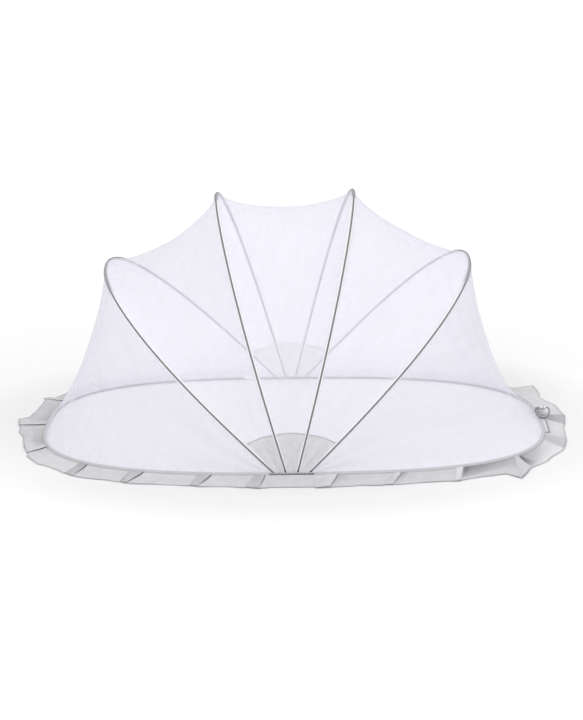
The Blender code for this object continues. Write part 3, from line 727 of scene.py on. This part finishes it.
def makeJoint():
    # white plastic tube over the ends of the base wire, with a raised collar at each end
    material, tree, shader = newMaterial("joint_plastic", roughness=0.35)
    grain, colour = grainOf(tree, joint)
    # painted shade: the joint is darker along its inner underside
    low = rangeOf(tree, layerOf(tree, "across"), hem["darkFrom"], hem["darkTo"])
    setInputs(tree, shader, {"Base Color": mixOf(tree, low, colour, joint["under"]),
                             "Roughness": glossOf(tree, grain, joint)})
    bumpOf(tree, shader, grain, *joint["bump"])
    middle = curves["base_left"]["length"] + baseStart["left"] - joint["place"]
    distances = [middle + joint["length"] * (share - 0.5) for share, _ in joint["rings"]]
    frames = [place @ Matrix.Diagonal((radius, radius, 1, 1))
              for place, (_, radius) in zip(framesAlong("base_left", distances), joint["rings"])]
    section = roundSection(joint["collar"], joint["sides"])
    shape = sweep(frames, section, [out for lift, out in section], distances)
    standFor(finishPiece("wire_joint", shape, material), "wire_connector", "base_left")


hemCloth = makeHemCloth()
makeHems(hemCloth)
makePockets(hemCloth)
makeJoint()
print("hem, pockets and wire joint made")


# Skirt: a flat strip with knife pleats, its outer edge straight from pleat to pleat

# rises and drops: shares of the rise and of the seam's height, at places from the hem to the edge
skirt = {"width": 0.058, "seamHeight": 0.0024, "seamGap": 0.0004, "rise": 0.0040, "thick": 0.0004,
         "rises": ((0.0, 0.55), (0.20, 0.80), (0.60, 0.70), (1.0, 0.46)),
         "drops": ((0.0, 1.0), (0.14, 0.42), (0.30, 0.0), (1.0, 0.0)),
         "across": 14, "panelSteps": 12, "cup": 0.0030,
         "past": 0.3,  # this many folds from its crease, the panel after a pleat begins
         "lift": (60, 23, 0.0007), "edgeWave": (47, 111, 0.0009),  # how fast two waves run, and their size
         "goreLift": 0.0006, "goreSteps": 6, "goreReach": 0.98, "goreEase": 1.01,
         # seam keys: how far across the strip the painted shade under the hem reaches and spreads, how much
         # of it is left at the next pleat and how it falls off; gain and fade: how much the painted shade
         # grows at the hem and fades towards the edge
         "seamReach": 0.40, "seamSpread": 0.50, "seamEnd": 0.45, "seamFade": 0.45,
         "gain": 0.10, "fade": {"plain": 0.0, "fold": 0.40, "crease": 0.85, "beyond": 0.85},
         "tone": tone(223, 223, 225), "blotch": tone(215, 215, 218), "blotches": (45.0, 4.0),
         "shade": tone(112, 113, 118), "light": tone(255, 255, 255),
         "bands": ((0.0050, 0.0044, 0.30, tone(182, 183, 189)),  # start and full, from the edge, share, tone
                   (0.0022, 0.0012, 0.50, tone(142, 143, 150))),
         "stitchRows": (0.0030, 0.0540), "stitch": (0.0032, 0.0005), "stitchTone": tone(150, 150, 156),
         "stitchShare": 0.5, "weave": 0.0008, "creases": (60.0, 3.0, (1.0, 0.5, 1.0)), "creaseDepth": 12.0,
         "bump": (0.35, 0.0004)}
# Each pleat: where its crease meets the hem and the outer edge, as distances round the ring from the front;
# how wide its fold is at both; how far the edge stands out before the crease, at it, at the fold and after;
# then the painted shade (below 0, painted light) on the fold, the crease and the cloth before it, and along
# the seam and over the rest of the panel that follows it towards the back
pleats = {"right": (
    ((0.088, 0.069), (0.023, 0.027), (0.000, 0.003, 0.005, 0.000), (-0.05, 0.80, 0.25, 0.12, 0.04)),
    ((0.219, 0.192), (0.015, 0.016), (-0.002, -0.002, -0.003, 0.000), (0.05, 0.60, 0.40, 0.12, 0.04)),
    ((0.349, 0.322), (0.015, 0.012), (-0.001, 0.002, 0.002, 0.000), (-0.25, 0.50, 0.40, 0.72, 0.10)),
    ((0.482, 0.462), (0.009, 0.038), (-0.001, 0.004, 0.036, 0.002), (0.12, -0.95, 0.40, 0.95, -0.35)),
    ((0.621, 0.617), (0.024, 0.044), (-0.014, -0.012, -0.006, -0.004), (0.26, 0.80, 0.05, 0.10, -0.18)),
    ((0.748, 0.748), (0.010, 0.056), (-0.002, 0.000, -0.010, -0.014), (0.50, 0.80, 0.00, 0.10, -0.14)),
    ((0.909, 0.907), (0.030, 0.042), (-0.030, 0.024, -0.004, -0.014), (-0.03, 0.50, 0.15, 0.20, -0.05)),
    ((0.995, 1.003), (0.020, 0.030), (0.000, 0.004, -0.010, -0.030), (0.10, 0.60, 0.20, 0.12, 0.10)),
    ((1.102, 1.120), (0.020, 0.028), (0.000, 0.004, 0.000, -0.002), (0.10, 0.60, 0.20, 0.12, 0.06)),
    ((1.246, 1.262), (0.020, 0.028), (0.000, 0.004, 0.000, -0.002), (0.10, 0.60, 0.20, 0.12, 0.06))
), "left": (
    ((0.060, 0.072), (0.022, 0.027), (0.002, 0.005, 0.000, 0.000), (0.26, 0.90, 0.00, 0.08, 0.02)),
    ((0.170, 0.192), (0.028, 0.016), (-0.002, -0.003, -0.007, -0.004), (0.28, 0.95, 0.00, 0.05, 0.02)),
    ((0.311, 0.329), (0.032, 0.014), (-0.001, -0.002, -0.005, -0.003), (0.28, 0.90, 0.00, 0.05, 0.02)),
    ((0.439, 0.435), (0.020, 0.020), (0.000, 0.000, -0.005, -0.004), (0.36, 0.85, 0.00, 0.05, -0.07)),
    ((0.582, 0.575), (0.030, 0.048), (-0.004, -0.012, -0.016, -0.016), (0.02, 0.55, 0.10, 0.30, 0.10)),
    ((0.719, 0.721), (0.026, 0.037), (-0.002, 0.004, 0.011, -0.008), (0.02, 0.45, 0.15, 0.25, 0.14)),
    ((0.872, 0.866), (0.020, 0.012), (-0.006, 0.007, -0.004, -0.012), (0.05, 0.12, 0.20, 0.20, 0.14)),
    ((0.985, 0.977), (0.022, 0.030), (0.000, 0.003, 0.000, -0.002), (0.10, 0.60, 0.20, 0.12, 0.10)),
    ((1.112, 1.095), (0.022, 0.028), (0.000, 0.003, 0.000, -0.002), (0.10, 0.60, 0.20, 0.12, 0.06)),
    ((1.255, 1.238), (0.022, 0.028), (0.000, 0.003, 0.000, -0.002), (0.10, 0.60, 0.20, 0.12, 0.06))
)}
pleatReachPlaces = (0.40, 0.0, -1.0, -1.15)
# One pleat in cloth order: place in folds from its crease, lift in rises, and which of its painted shades
# shows there
pleatRows = ((-1.30, 0.00, "plain"), (-1.04, 0.20, "plain"), (-0.99, 0.46, "fold"), (-0.60, 0.64, "fold"),
             (-0.20, 0.88, "fold"), (-0.05, 1.00, "fold"), (0.01, 0.94, "crease"), (-0.02, 0.80, "crease"),
             (-0.15, 0.70, "crease"), (-0.60, 0.44, "crease"), (-0.94, 0.34, "crease"),
             (-0.98, 0.26, "crease"), (-0.94, 0.18, "crease"), (-0.60, 0.12, "crease"),
             (-0.04, 0.10, "crease"), (0.07, 0.06, "beyond"), (0.32, 0.03, "beyond"), (1.10, 0.00, "plain"))


def ringFrame(side, distance):
    # the point of the base ring at a distance from the front centre, and the way out from it
    curve = curves["base_" + side]
    along = distance - baseStart[side]
    point = Vector(pointsAt(curve, along))
    way = Vector(pointsAt(curve, along, "along"))
    return point, Vector((way.y, -way.x, 0)).normalized() * sideSign[side]


def skirtRibs(side):
    # lines across the skirt, in cloth order: where each meets the hem and the edge, its lift, its shade,
    # the shade at its seam and how much of the shade is gone at the edge
    start = baseStart[side]
    end = halfRing - start
    root = wireHeight + skirt["seamGap"]
    handed = sideSign[side]

    def rib(inner, outer, extra, lift, shade, seam, fade):
        # past a fold line the strip stays square, and is cut along the line
        inner = min(max(inner, start), end)
        outer = min(max(outer, start), end)
        point, out = ringFrame(side, outer)
        tip = point + out * (root + skirt["width"] + extra)
        return (inner, tip.x, tip.y, lift, shade, seam, fade)

    ribs = [rib(start, start, 0.0, 0.0, 0.0, 0.0, 0.0)]
    panelShade = panelSeamShade = 0.0
    for (crease, edge), (fold, edgeFold), reaches, shades in pleats[side]:
        for place, lift, kind in pleatRows[::handed]:
            past = place * handed > skirt["past"]
            shadeOf = {"plain": shades[4] if past else panelShade, "fold": shades[0], "crease": shades[1],
                       "beyond": shades[2]}
            extra = float(np.interp(-place, [-at for at in pleatReachPlaces], reaches))
            seam = shades[3] if past else panelSeamShade * skirt["seamEnd"] * (kind == "plain")
            ribs.append(rib(crease + handed * place * fold, edge + handed * place * edgeFold, extra, lift,
                            shadeOf[kind], seam, skirt["fade"][kind]))
        panelShade, panelSeamShade = shades[4], shades[3]
    ribs.append(rib(end, end, 0.0, 0.0, 0.0, 0.0, 0.0))
    return ribs


def skirtColumns(side):
    # the ribs, with more lines between them where a panel is wide, drawn in a little between the pleats
    ribs = skirtRibs(side)
    columns = []
    for before, after in zip(ribs, ribs[1:]):
        wide = abs(after[0] - before[0]) > skirt["width"] / 2
        count = skirt["panelSteps"] if wide else 1
        for k in range(count):
            share = k / count
            column = [a + (b - a) * share for a, b in zip(before, after)]
            cup = skirt["cup"] * math.sin(math.pi * share)
            inward = unit(np.array([-column[1], -column[2]]))
            columns.append([column[0], column[1] + inward[0] * cup, column[2] + inward[1] * cup, *column[3:]])
    columns.append(list(ribs[-1]))
    return np.array(columns)


def seamDrop(across):
    # the height of the middle of the cloth, from its seam down to where it lies on the floor
    return np.interp(across, *zip(*skirt["drops"])) * skirt["seamHeight"] + skirt["thick"] / 2


def skirtPlace(side):
    columns = skirtColumns(side)
    count = len(columns)
    roots = [ringFrame(side, row[0]) for row in columns]
    inner = np.array([list(point + out * (wireHeight + skirt["seamGap"])) for point, out in roots])
    outer = np.stack([columns[:, 1], columns[:, 2], np.zeros(count)], axis=1)
    run = runOf((inner + outer) / 2)

    def place(across, along):
        row = np.rint(along * (count - 1)).astype(int)
        reach = run[row]
        points = inner[row] + (outer[row] - inner[row]) * across[:, None]
        growth = np.interp(across, *zip(*skirt["rises"]))
        first, second, size = skirt["lift"]
        wave = (np.sin(reach * first) * np.sin(reach * second + 1) + 1) * size * across ** 2
        points[:, 2] = seamDrop(across) + columns[row, 3] * skirt["rise"] * growth + wave
        first, second, size = skirt["edgeWave"]
        edge = np.sin(reach * first + 0.6) * np.sin(reach * second) * size * across
        points[:, :2] += unit(outer[row] - inner[row])[:, :2] * edge[:, None]
        # the layer fold carries the painted shade (below 0, painted light) of each pleat and panel, with the
        # painted shade under the hem
        seam = columns[row, 5]
        left = np.clip(1 - across / (skirt["seamReach"] + skirt["seamSpread"] * seam), 0, 1)
        shade = columns[row, 4] * (1 + skirt["gain"] - columns[row, 6] * across)
        fold = shade + seam * left ** skirt["seamFade"]
        return points, {"along": reach, "across": across * skirt["width"], "fold": fold}
    return place, count


def makeSkirtCloth():
    material, tree, shader = newMaterial("skirt_cloth", sheen=0.1)
    along, across, place = clothPlace(tree)
    fold = layerOf(tree, "fold")
    # painted shade where the layer fold is above 0, painted light where it is below
    colour = mixOf(tree, rangeOf(tree, fold, 0.0, 1.0), blotchOf(tree, place, skirt), skirt["shade"])
    colour = mixOf(tree, rangeOf(tree, fold, 0.0, -1.0), colour, skirt["light"])
    width = skirt["width"]
    for start, full, share, bandTone in skirt["bands"]:
        band = rangeOf(tree, across, width - start, width - full, 0.0, share)
        colour = mixOf(tree, band, colour, bandTone)
    rows = [dashesOf(tree, along, across, row, *skirt["stitch"]) for row in skirt["stitchRows"]]
    dashes = mathOf(tree, "MAXIMUM", *rows)
    setInputs(tree, shader, {"Base Color": stitchedOf(tree, colour, dashes, skirt)})
    clothBump(tree, shader, along, across, skirt, creasesOf(tree, place, skirt), timesOf(tree, dashes, -1.0))
    return material


def thicken(piece, thickness):
    # the cut edges are kept crisp, so that no cloth shades darker beside them
    corners = np.zeros(len(piece.data.loops), np.int32)
    piece.data.loops.foreach_get("edge_index", corners)
    for edge in np.flatnonzero(np.bincount(corners) == 1):
        piece.data.edges[edge].use_edge_sharp = True
    modifier = piece.modifiers.new("thickness", "SOLIDIFY")
    modifier.thickness = thickness
    modifier.offset = 0.0


def makeSkirts(material):
    for side in sideSign:
        place, count = skirtPlace(side)
        piece = clothPiece("skirt_strip_" + side, skirt["across"], count - 1, place, farBelow, material)
        thicken(piece, skirt["thick"])
        standFor(piece, "skirt_" + side, "base_" + side)


def gorePlace(outward, low, high):
    def place(across, along):
        x = low + (high - low) * along
        y = outward * (base["halfWidth"] + wireHeight + skirt["seamGap"] + skirt["width"] * across)
        points = np.stack([x, y, seamDrop(across) + skirt["goreLift"] * across ** 2], axis=1)
        return points, {"along": x, "across": across * skirt["width"], "fold": x * 0}
    return place


def makeGores(material):
    # the part of the skirt under the hoop feet, cut at each fold line
    foldEase = base["seam"] * skirt["goreReach"]
    for name in hoops:
        for where, outward in (("front", -1), ("back", 1)):
            ending = "gore_" + where + "_" + name
            low, high = (corner.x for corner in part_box("skirt_" + ending))
            place = gorePlace(outward, low - foldEase, high + foldEase)
            piece = clothPiece(ending, skirt["across"], skirt["goreSteps"], place, farBelow, material)
            thicken(piece, skirt["thick"])
            standFor(piece, "skirt_" + ending, "hoop_" + name)


skirtCloth = makeSkirtCloth()
makeSkirts(skirtCloth)
makeGores(skirtCloth)
print("skirt pleated")


# Fan patches between the hoop feet

patches = {"pairs": {"right": ("outer_right", "inner_right"), "middle": ("inner_right", "inner_left"),
                     "left": ("inner_left", "outer_left")},
           "reach": 0.0885, "arc": 0.0035, "foot": 0.0044, "hold": 0.0016, "columns": 24, "rows": 40,
           "seed": 2.1, "waves": (11, 4), "waveDepth": 0.0016, "sag": 0.004, "ease": 1.01,
           "tone": tone(226, 226, 229), "blotch": tone(218, 218, 222), "paintedLight": tone(241, 241, 243),
           "blotches": (55.0, 4.0, (1.0, 2.0, 1.0)), "binding": 0.0036, "bindingEdge": 0.0004,
           "bindingShare": 0.75, "bindingTone": tone(180, 181, 187), "bindingLift": 1.5, "weave": 0.0008,
           "creases": (42.0, 3.0, (0.4, 1.6, 1.0)), "creaseDepth": 22.0, "bump": (0.4, 0.0005)}


def makePatchCloth():
    material, tree, shader = newMaterial("patch_cloth", sheen=0.1)
    along, across, place = clothPlace(tree)
    # painted light: the back patches, which lie in the nets' shade, are made lighter
    colour = mixOf(tree, layerOf(tree, "paintedLight"), blotchOf(tree, place, patches), patches["paintedLight"])
    binding = patches["binding"]
    border = rangeOf(tree, layerOf(tree, "edge"), binding - patches["bindingEdge"], binding, 1.0, 0.0)
    colour = mixOf(tree, timesOf(tree, border, patches["bindingShare"]), colour, patches["bindingTone"])
    setInputs(tree, shader, {"Base Color": colour})
    clothBump(tree, shader, along, across, patches, creasesOf(tree, place, patches),
              timesOf(tree, border, patches["bindingLift"]))
    return material


def patchPlace(pair, outward, seed):
    acrossWaves, alongWaves = patches["waves"]

    def place(across, along):
        reach = patches["reach"] + patches["arc"] * np.sin(math.pi * across)
        sides = []
        for name in pair:
            curve = curves["hoop_" + name]
            foot = patches["foot"] / math.cos(math.radians(hoops[name]["tilt"]))
            distance = foot + (reach - foot) * along
            sides.append(pointsAt(curve, distance if outward < 0 else curve["length"] - distance))
        over = unit(sides[1] - sides[0])
        span = np.linalg.norm(sides[1] - sides[0], axis=1)
        low = sides[0] + over * patches["hold"]
        high = sides[1] - over * patches["hold"]
        points = low + (high - low) * across[:, None]
        soft = np.sin(across * acrossWaves + along * alongWaves + seed) * np.sin(math.pi * along) ** 0.5
        depth = patches["waveDepth"] * soft - patches["sag"] * along
        points[:, 1] += outward * depth * np.sin(math.pi * across)
        layers = {"along": reach * along, "across": (across - 0.5) * span, "share": across,
                  "edge": (reach - patches["foot"]) * (1 - along), "paintedLight": across * 0 + (outward > 0)}
        return points, layers
    return place


def makePatches():
    material = makePatchCloth()
    columns, rows = patches["columns"], patches["rows"]
    for seed, (part, pair) in enumerate(patches["pairs"].items()):
        for where, outward in (("front", -1), ("back", 1)):
            place = patchPlace(pair, outward, seed * patches["seed"])
            ending = where + "_" + part
            piece = clothPiece("fan_" + ending, columns, rows, place, tentCentre, material)
            blendAcross(piece, *["hoop_" + name for name in pair])
            standFor(piece, "patch_" + ending)
            clothWidth(piece)


makePatches()
print("fan patches sewn:", 2 * len(patches["pairs"]))


# D-ring, its webbing tab and the tie strap

# shade: from and to on the height of the weave, and the shares; fill: how much of its solid a webbing fills
webbing = {"rib": 0.0013, "twill": 0.0011, "twillLean": 0.9, "twillShare": 0.5, "stripes": (-0.15, 0.15),
           "shade": (-1.4, 0.2, 0.35, 0.0), "shadeTone": tone(120, 121, 127), "bump": (0.5, 0.0003),
           "fill": 0.9}
ringTab = {"width": 0.016, "thick": 0.0012, "sewn": 0.30, "clear": 0.0003, "apart": 0.0002, "ease": 0.003,
           "bends": 16, "inside": 0.002, "columns": 12, "rows": 90,
           "tone": tone(246, 246, 249), "stripe": tone(206, 207, 212), "pitch": 0.0080}
dRing = {"width": 0.034, "depth": 0.030, "wire": 0.00175, "corner": 0.16, "steps": 40, "barSteps": 8,
         "cornerSteps": 6, "sides": 16, "tone": tone(212, 213, 218), "worn": tone(196, 197, 202),
         "paintedDark": tone(46, 47, 51), "grain": (400.0, 4.0), "gloss": (0.15, 0.35),
         "rim": (0.10, 0.50), "innerRim": 0.7}  # innerRim: how far the painted dark reflection and shade reach inside the D
strap = {"width": 0.010, "thick": 0.0010, "length": 0.086, "start": 0.004, "lean": 0.0042, "bulge": 0.0006,
         "lifts": (0.0, 0.5, 0.9, 1.1, 0.9, 0.5, 0.2, 0.1, 0.2, 0.5, 0.9), "columns": 10, "rows": 80,
         "tone": tone(234, 234, 238), "stripe": tone(176, 177, 183), "pitch": 0.0100}


def makeWebbing(name, strip):
    # ribbed webbing with lighter and darker stripes along it
    material, tree, shader = newMaterial(name, roughness=0.75, sheen=0.1)
    along, across, _ = clothPlace(tree)
    zigzag = timesOf(tree, mathOf(tree, "PINGPONG", across, webbing["rib"]), webbing["twillLean"])
    twill = waveOf(tree, sumOf(tree, along, zigzag), webbing["twill"])
    height = sumOf(tree, waveOf(tree, across, webbing["rib"]), timesOf(tree, twill, webbing["twillShare"]))
    stripe = rangeOf(tree, waveOf(tree, across, strip["pitch"]), *webbing["stripes"])
    colour = mixOf(tree, stripe, strip["tone"], strip["stripe"])
    colour = mixOf(tree, rangeOf(tree, height, *webbing["shade"]), colour, webbing["shadeTone"])
    setInputs(tree, shader, {"Base Color": colour})
    bumpOf(tree, shader, height, *webbing["bump"])
    return material


def makeRingMetal():
    material, tree, shader = newMaterial("ring_metal", roughness=0.2, metallic=1.0)
    grain, bright = grainOf(tree, dRing)
    # painted dark reflection and shade along the sides of the wire
    rim = rangeOf(tree, layerOf(tree, "across"), *dRing["rim"], kind="SMOOTHSTEP")
    setInputs(tree, shader, {"Base Color": mixOf(tree, rim, bright, dRing["paintedDark"]),
                             "Roughness": glossOf(tree, grain, dRing)})
    return material


def ringOutline():
    half = dRing["width"] / 2 - dRing["wire"]
    depth = dRing["depth"] - 2 * dRing["wire"]
    corner = dRing["corner"] * dRing["width"]
    steps = dRing["barSteps"]
    points = [((half - corner) * (2 * k / steps - 1), 0.0) for k in range(steps)]
    turns = [math.pi / 2 * (1 - k / dRing["cornerSteps"]) for k in range(dRing["cornerSteps"])]
    points += [(half - corner + corner * math.cos(t), -corner + corner * math.sin(t)) for t in turns]
    for k in range(dRing["steps"] + 1):
        turn = -math.pi * k / dRing["steps"]
        points.append((half * math.cos(turn), -corner + (depth - corner) * math.sin(turn)))
    points += [(corner - half - corner * math.cos(t), -corner + corner * math.sin(t)) for t in turns[:0:-1]]
    return [Vector((x, y, 0)) for x, y in points]


def ringHang():
    # where the bar of the D is, and how steeply the D hangs from it
    low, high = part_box("d_ring")
    wire = dRing["wire"]
    bar = Vector(((low.x + high.x) / 2, high.y - wire, high.z - wire))
    slope = math.asin((high.z - low.z - 2 * wire) / (dRing["depth"] - 2 * wire))
    return bar, slope


def makeDRing():
    outline = ringOutline()
    bar, slope = ringHang()
    lay = Matrix.Translation(bar) @ Matrix.Rotation(slope, 4, "X")
    frames = []
    for k, point in enumerate(outline):
        along = (outline[(k + 1) % len(outline)] - outline[k - 1]).normalized()
        turn = Matrix((up, along.cross(up).normalized(), along)).transposed().to_4x4()
        frames.append(lay @ Matrix.Translation(point) @ turn)
    section = roundSection(dRing["wire"], dRing["sides"])
    rim = [max(-inside, dRing["innerRim"] * inside) / dRing["wire"] for lift, inside in section]
    shape = sweep(frames, section, rim, list(range(len(frames))), closed=True)
    standFor(finishPiece("d_ring_wire", shape, makeRingMetal()), "d_ring", "tie_ring")
    return bar


def stripPlace(path, width, bulge=0.0):
    line = np.array([list(point) for point in path])
    run = runOf(line)

    def place(across, along):
        distance = along * run[-1]
        points = np.stack([np.interp(distance, run, line[:, k]) for k in range(3)], axis=1)
        points[:, 0] += (across - 0.5) * width
        points[:, 2] += bulge * (1 - (2 * across - 1) ** 2)
        return points, {"along": distance, "across": (across - 0.5) * width}
    return place, run[-1]


def makeStrip(name, strip, place, centre):
    piece = clothPiece(name, strip["columns"], strip["rows"], place, centre, makeWebbing(name, strip))
    thicken(piece, strip["thick"] * webbing["fill"])
    return piece


def makeTab(bar):
    # webbing sewn on the hem, up round the bar of the D-ring and back
    near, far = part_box("ring_tab")
    low = near.z + ringTab["thick"] / 2
    sewnY = far.y - (far.y - bar.y) * ringTab["sewn"]
    hold = dRing["wire"] + ringTab["clear"] + ringTab["thick"] / 2
    slope = math.atan2(bar.z - low, sewnY - bar.y)
    bends = ringTab["bends"]
    turns = [-math.pi / 2 - slope - math.pi * k / bends for k in range(bends + 1)]
    around = [bar + Vector((0, math.cos(turn), math.sin(turn))) * hold for turn in turns]
    sewn = ((far.y, 0.0), (sewnY + ringTab["ease"], 0.0), (sewnY, ringTab["clear"]))
    under = [Vector((bar.x, y, low + lift)) for y, lift in sewn]
    over = [point + up * (ringTab["thick"] + ringTab["apart"]) for point in reversed(under)]
    place, length = stripPlace(under + around + over, ringTab["width"])
    piece = makeStrip("tab_webbing", ringTab, place, (bar.x, sewnY, (low + bar.z) / 2 - ringTab["inside"]))
    standFor(piece, "ring_tab", "base_right")


def makeStrap():
    near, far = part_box("tie_strap")
    middle = (near.x + far.x) / 2
    low = near.z + strap["thick"] / 2
    lifts = strap["lifts"]
    shares = [k / (len(lifts) - 1) for k in range(len(lifts))]
    path = [Vector((middle - strap["lean"] * share ** 2, strap["start"] - strap["length"] * share,
                    low + lift * strap["thick"])) for share, lift in zip(shares, lifts)]
    place, length = stripPlace(path, strap["width"], strap["bulge"])
    piece = makeStrip("tie_strap_webbing", strap, place, farBelow)
    standFor(piece, "tie_strap", "base_right")


ringBar = makeDRing()
makeTab(ringBar)
makeStrap()
print("D-ring, tab and strap made")


# Wires and tips keep their solids, with a finish of their own

steel = {"tone": tone(170, 172, 176), "worn": tone(140, 142, 146), "grain": (500.0, 3.0),
         "gloss": (0.25, 0.45)}
tip = {"tone": tone(60, 60, 63), "worn": tone(48, 48, 50), "grain": (900.0, 2.0), "bump": (0.15, 0.0002)}


def makeSteel():
    material, tree, shader = newMaterial("spring_steel", roughness=0.35, metallic=1.0)
    grain, colour = grainOf(tree, steel)
    setInputs(tree, shader, {"Base Color": colour, "Roughness": glossOf(tree, grain, steel)})
    return material


def makeTipPlastic():
    material, tree, shader = newMaterial("tip_plastic", roughness=0.5)
    grain, colour = grainOf(tree, tip)
    setInputs(tree, shader, {"Base Color": colour})
    bumpOf(tree, shader, grain, *tip["bump"])
    return material


def dressNodes():
    steelFinish, tipFinish = makeSteel(), makeTipPlastic()
    for name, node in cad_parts.items():
        if "wire_" in name and name != "wire_connector":
            node.data.materials[0] = steelFinish
        elif "tip_" in name:
            node.data.materials[0] = tipFinish


dressNodes()
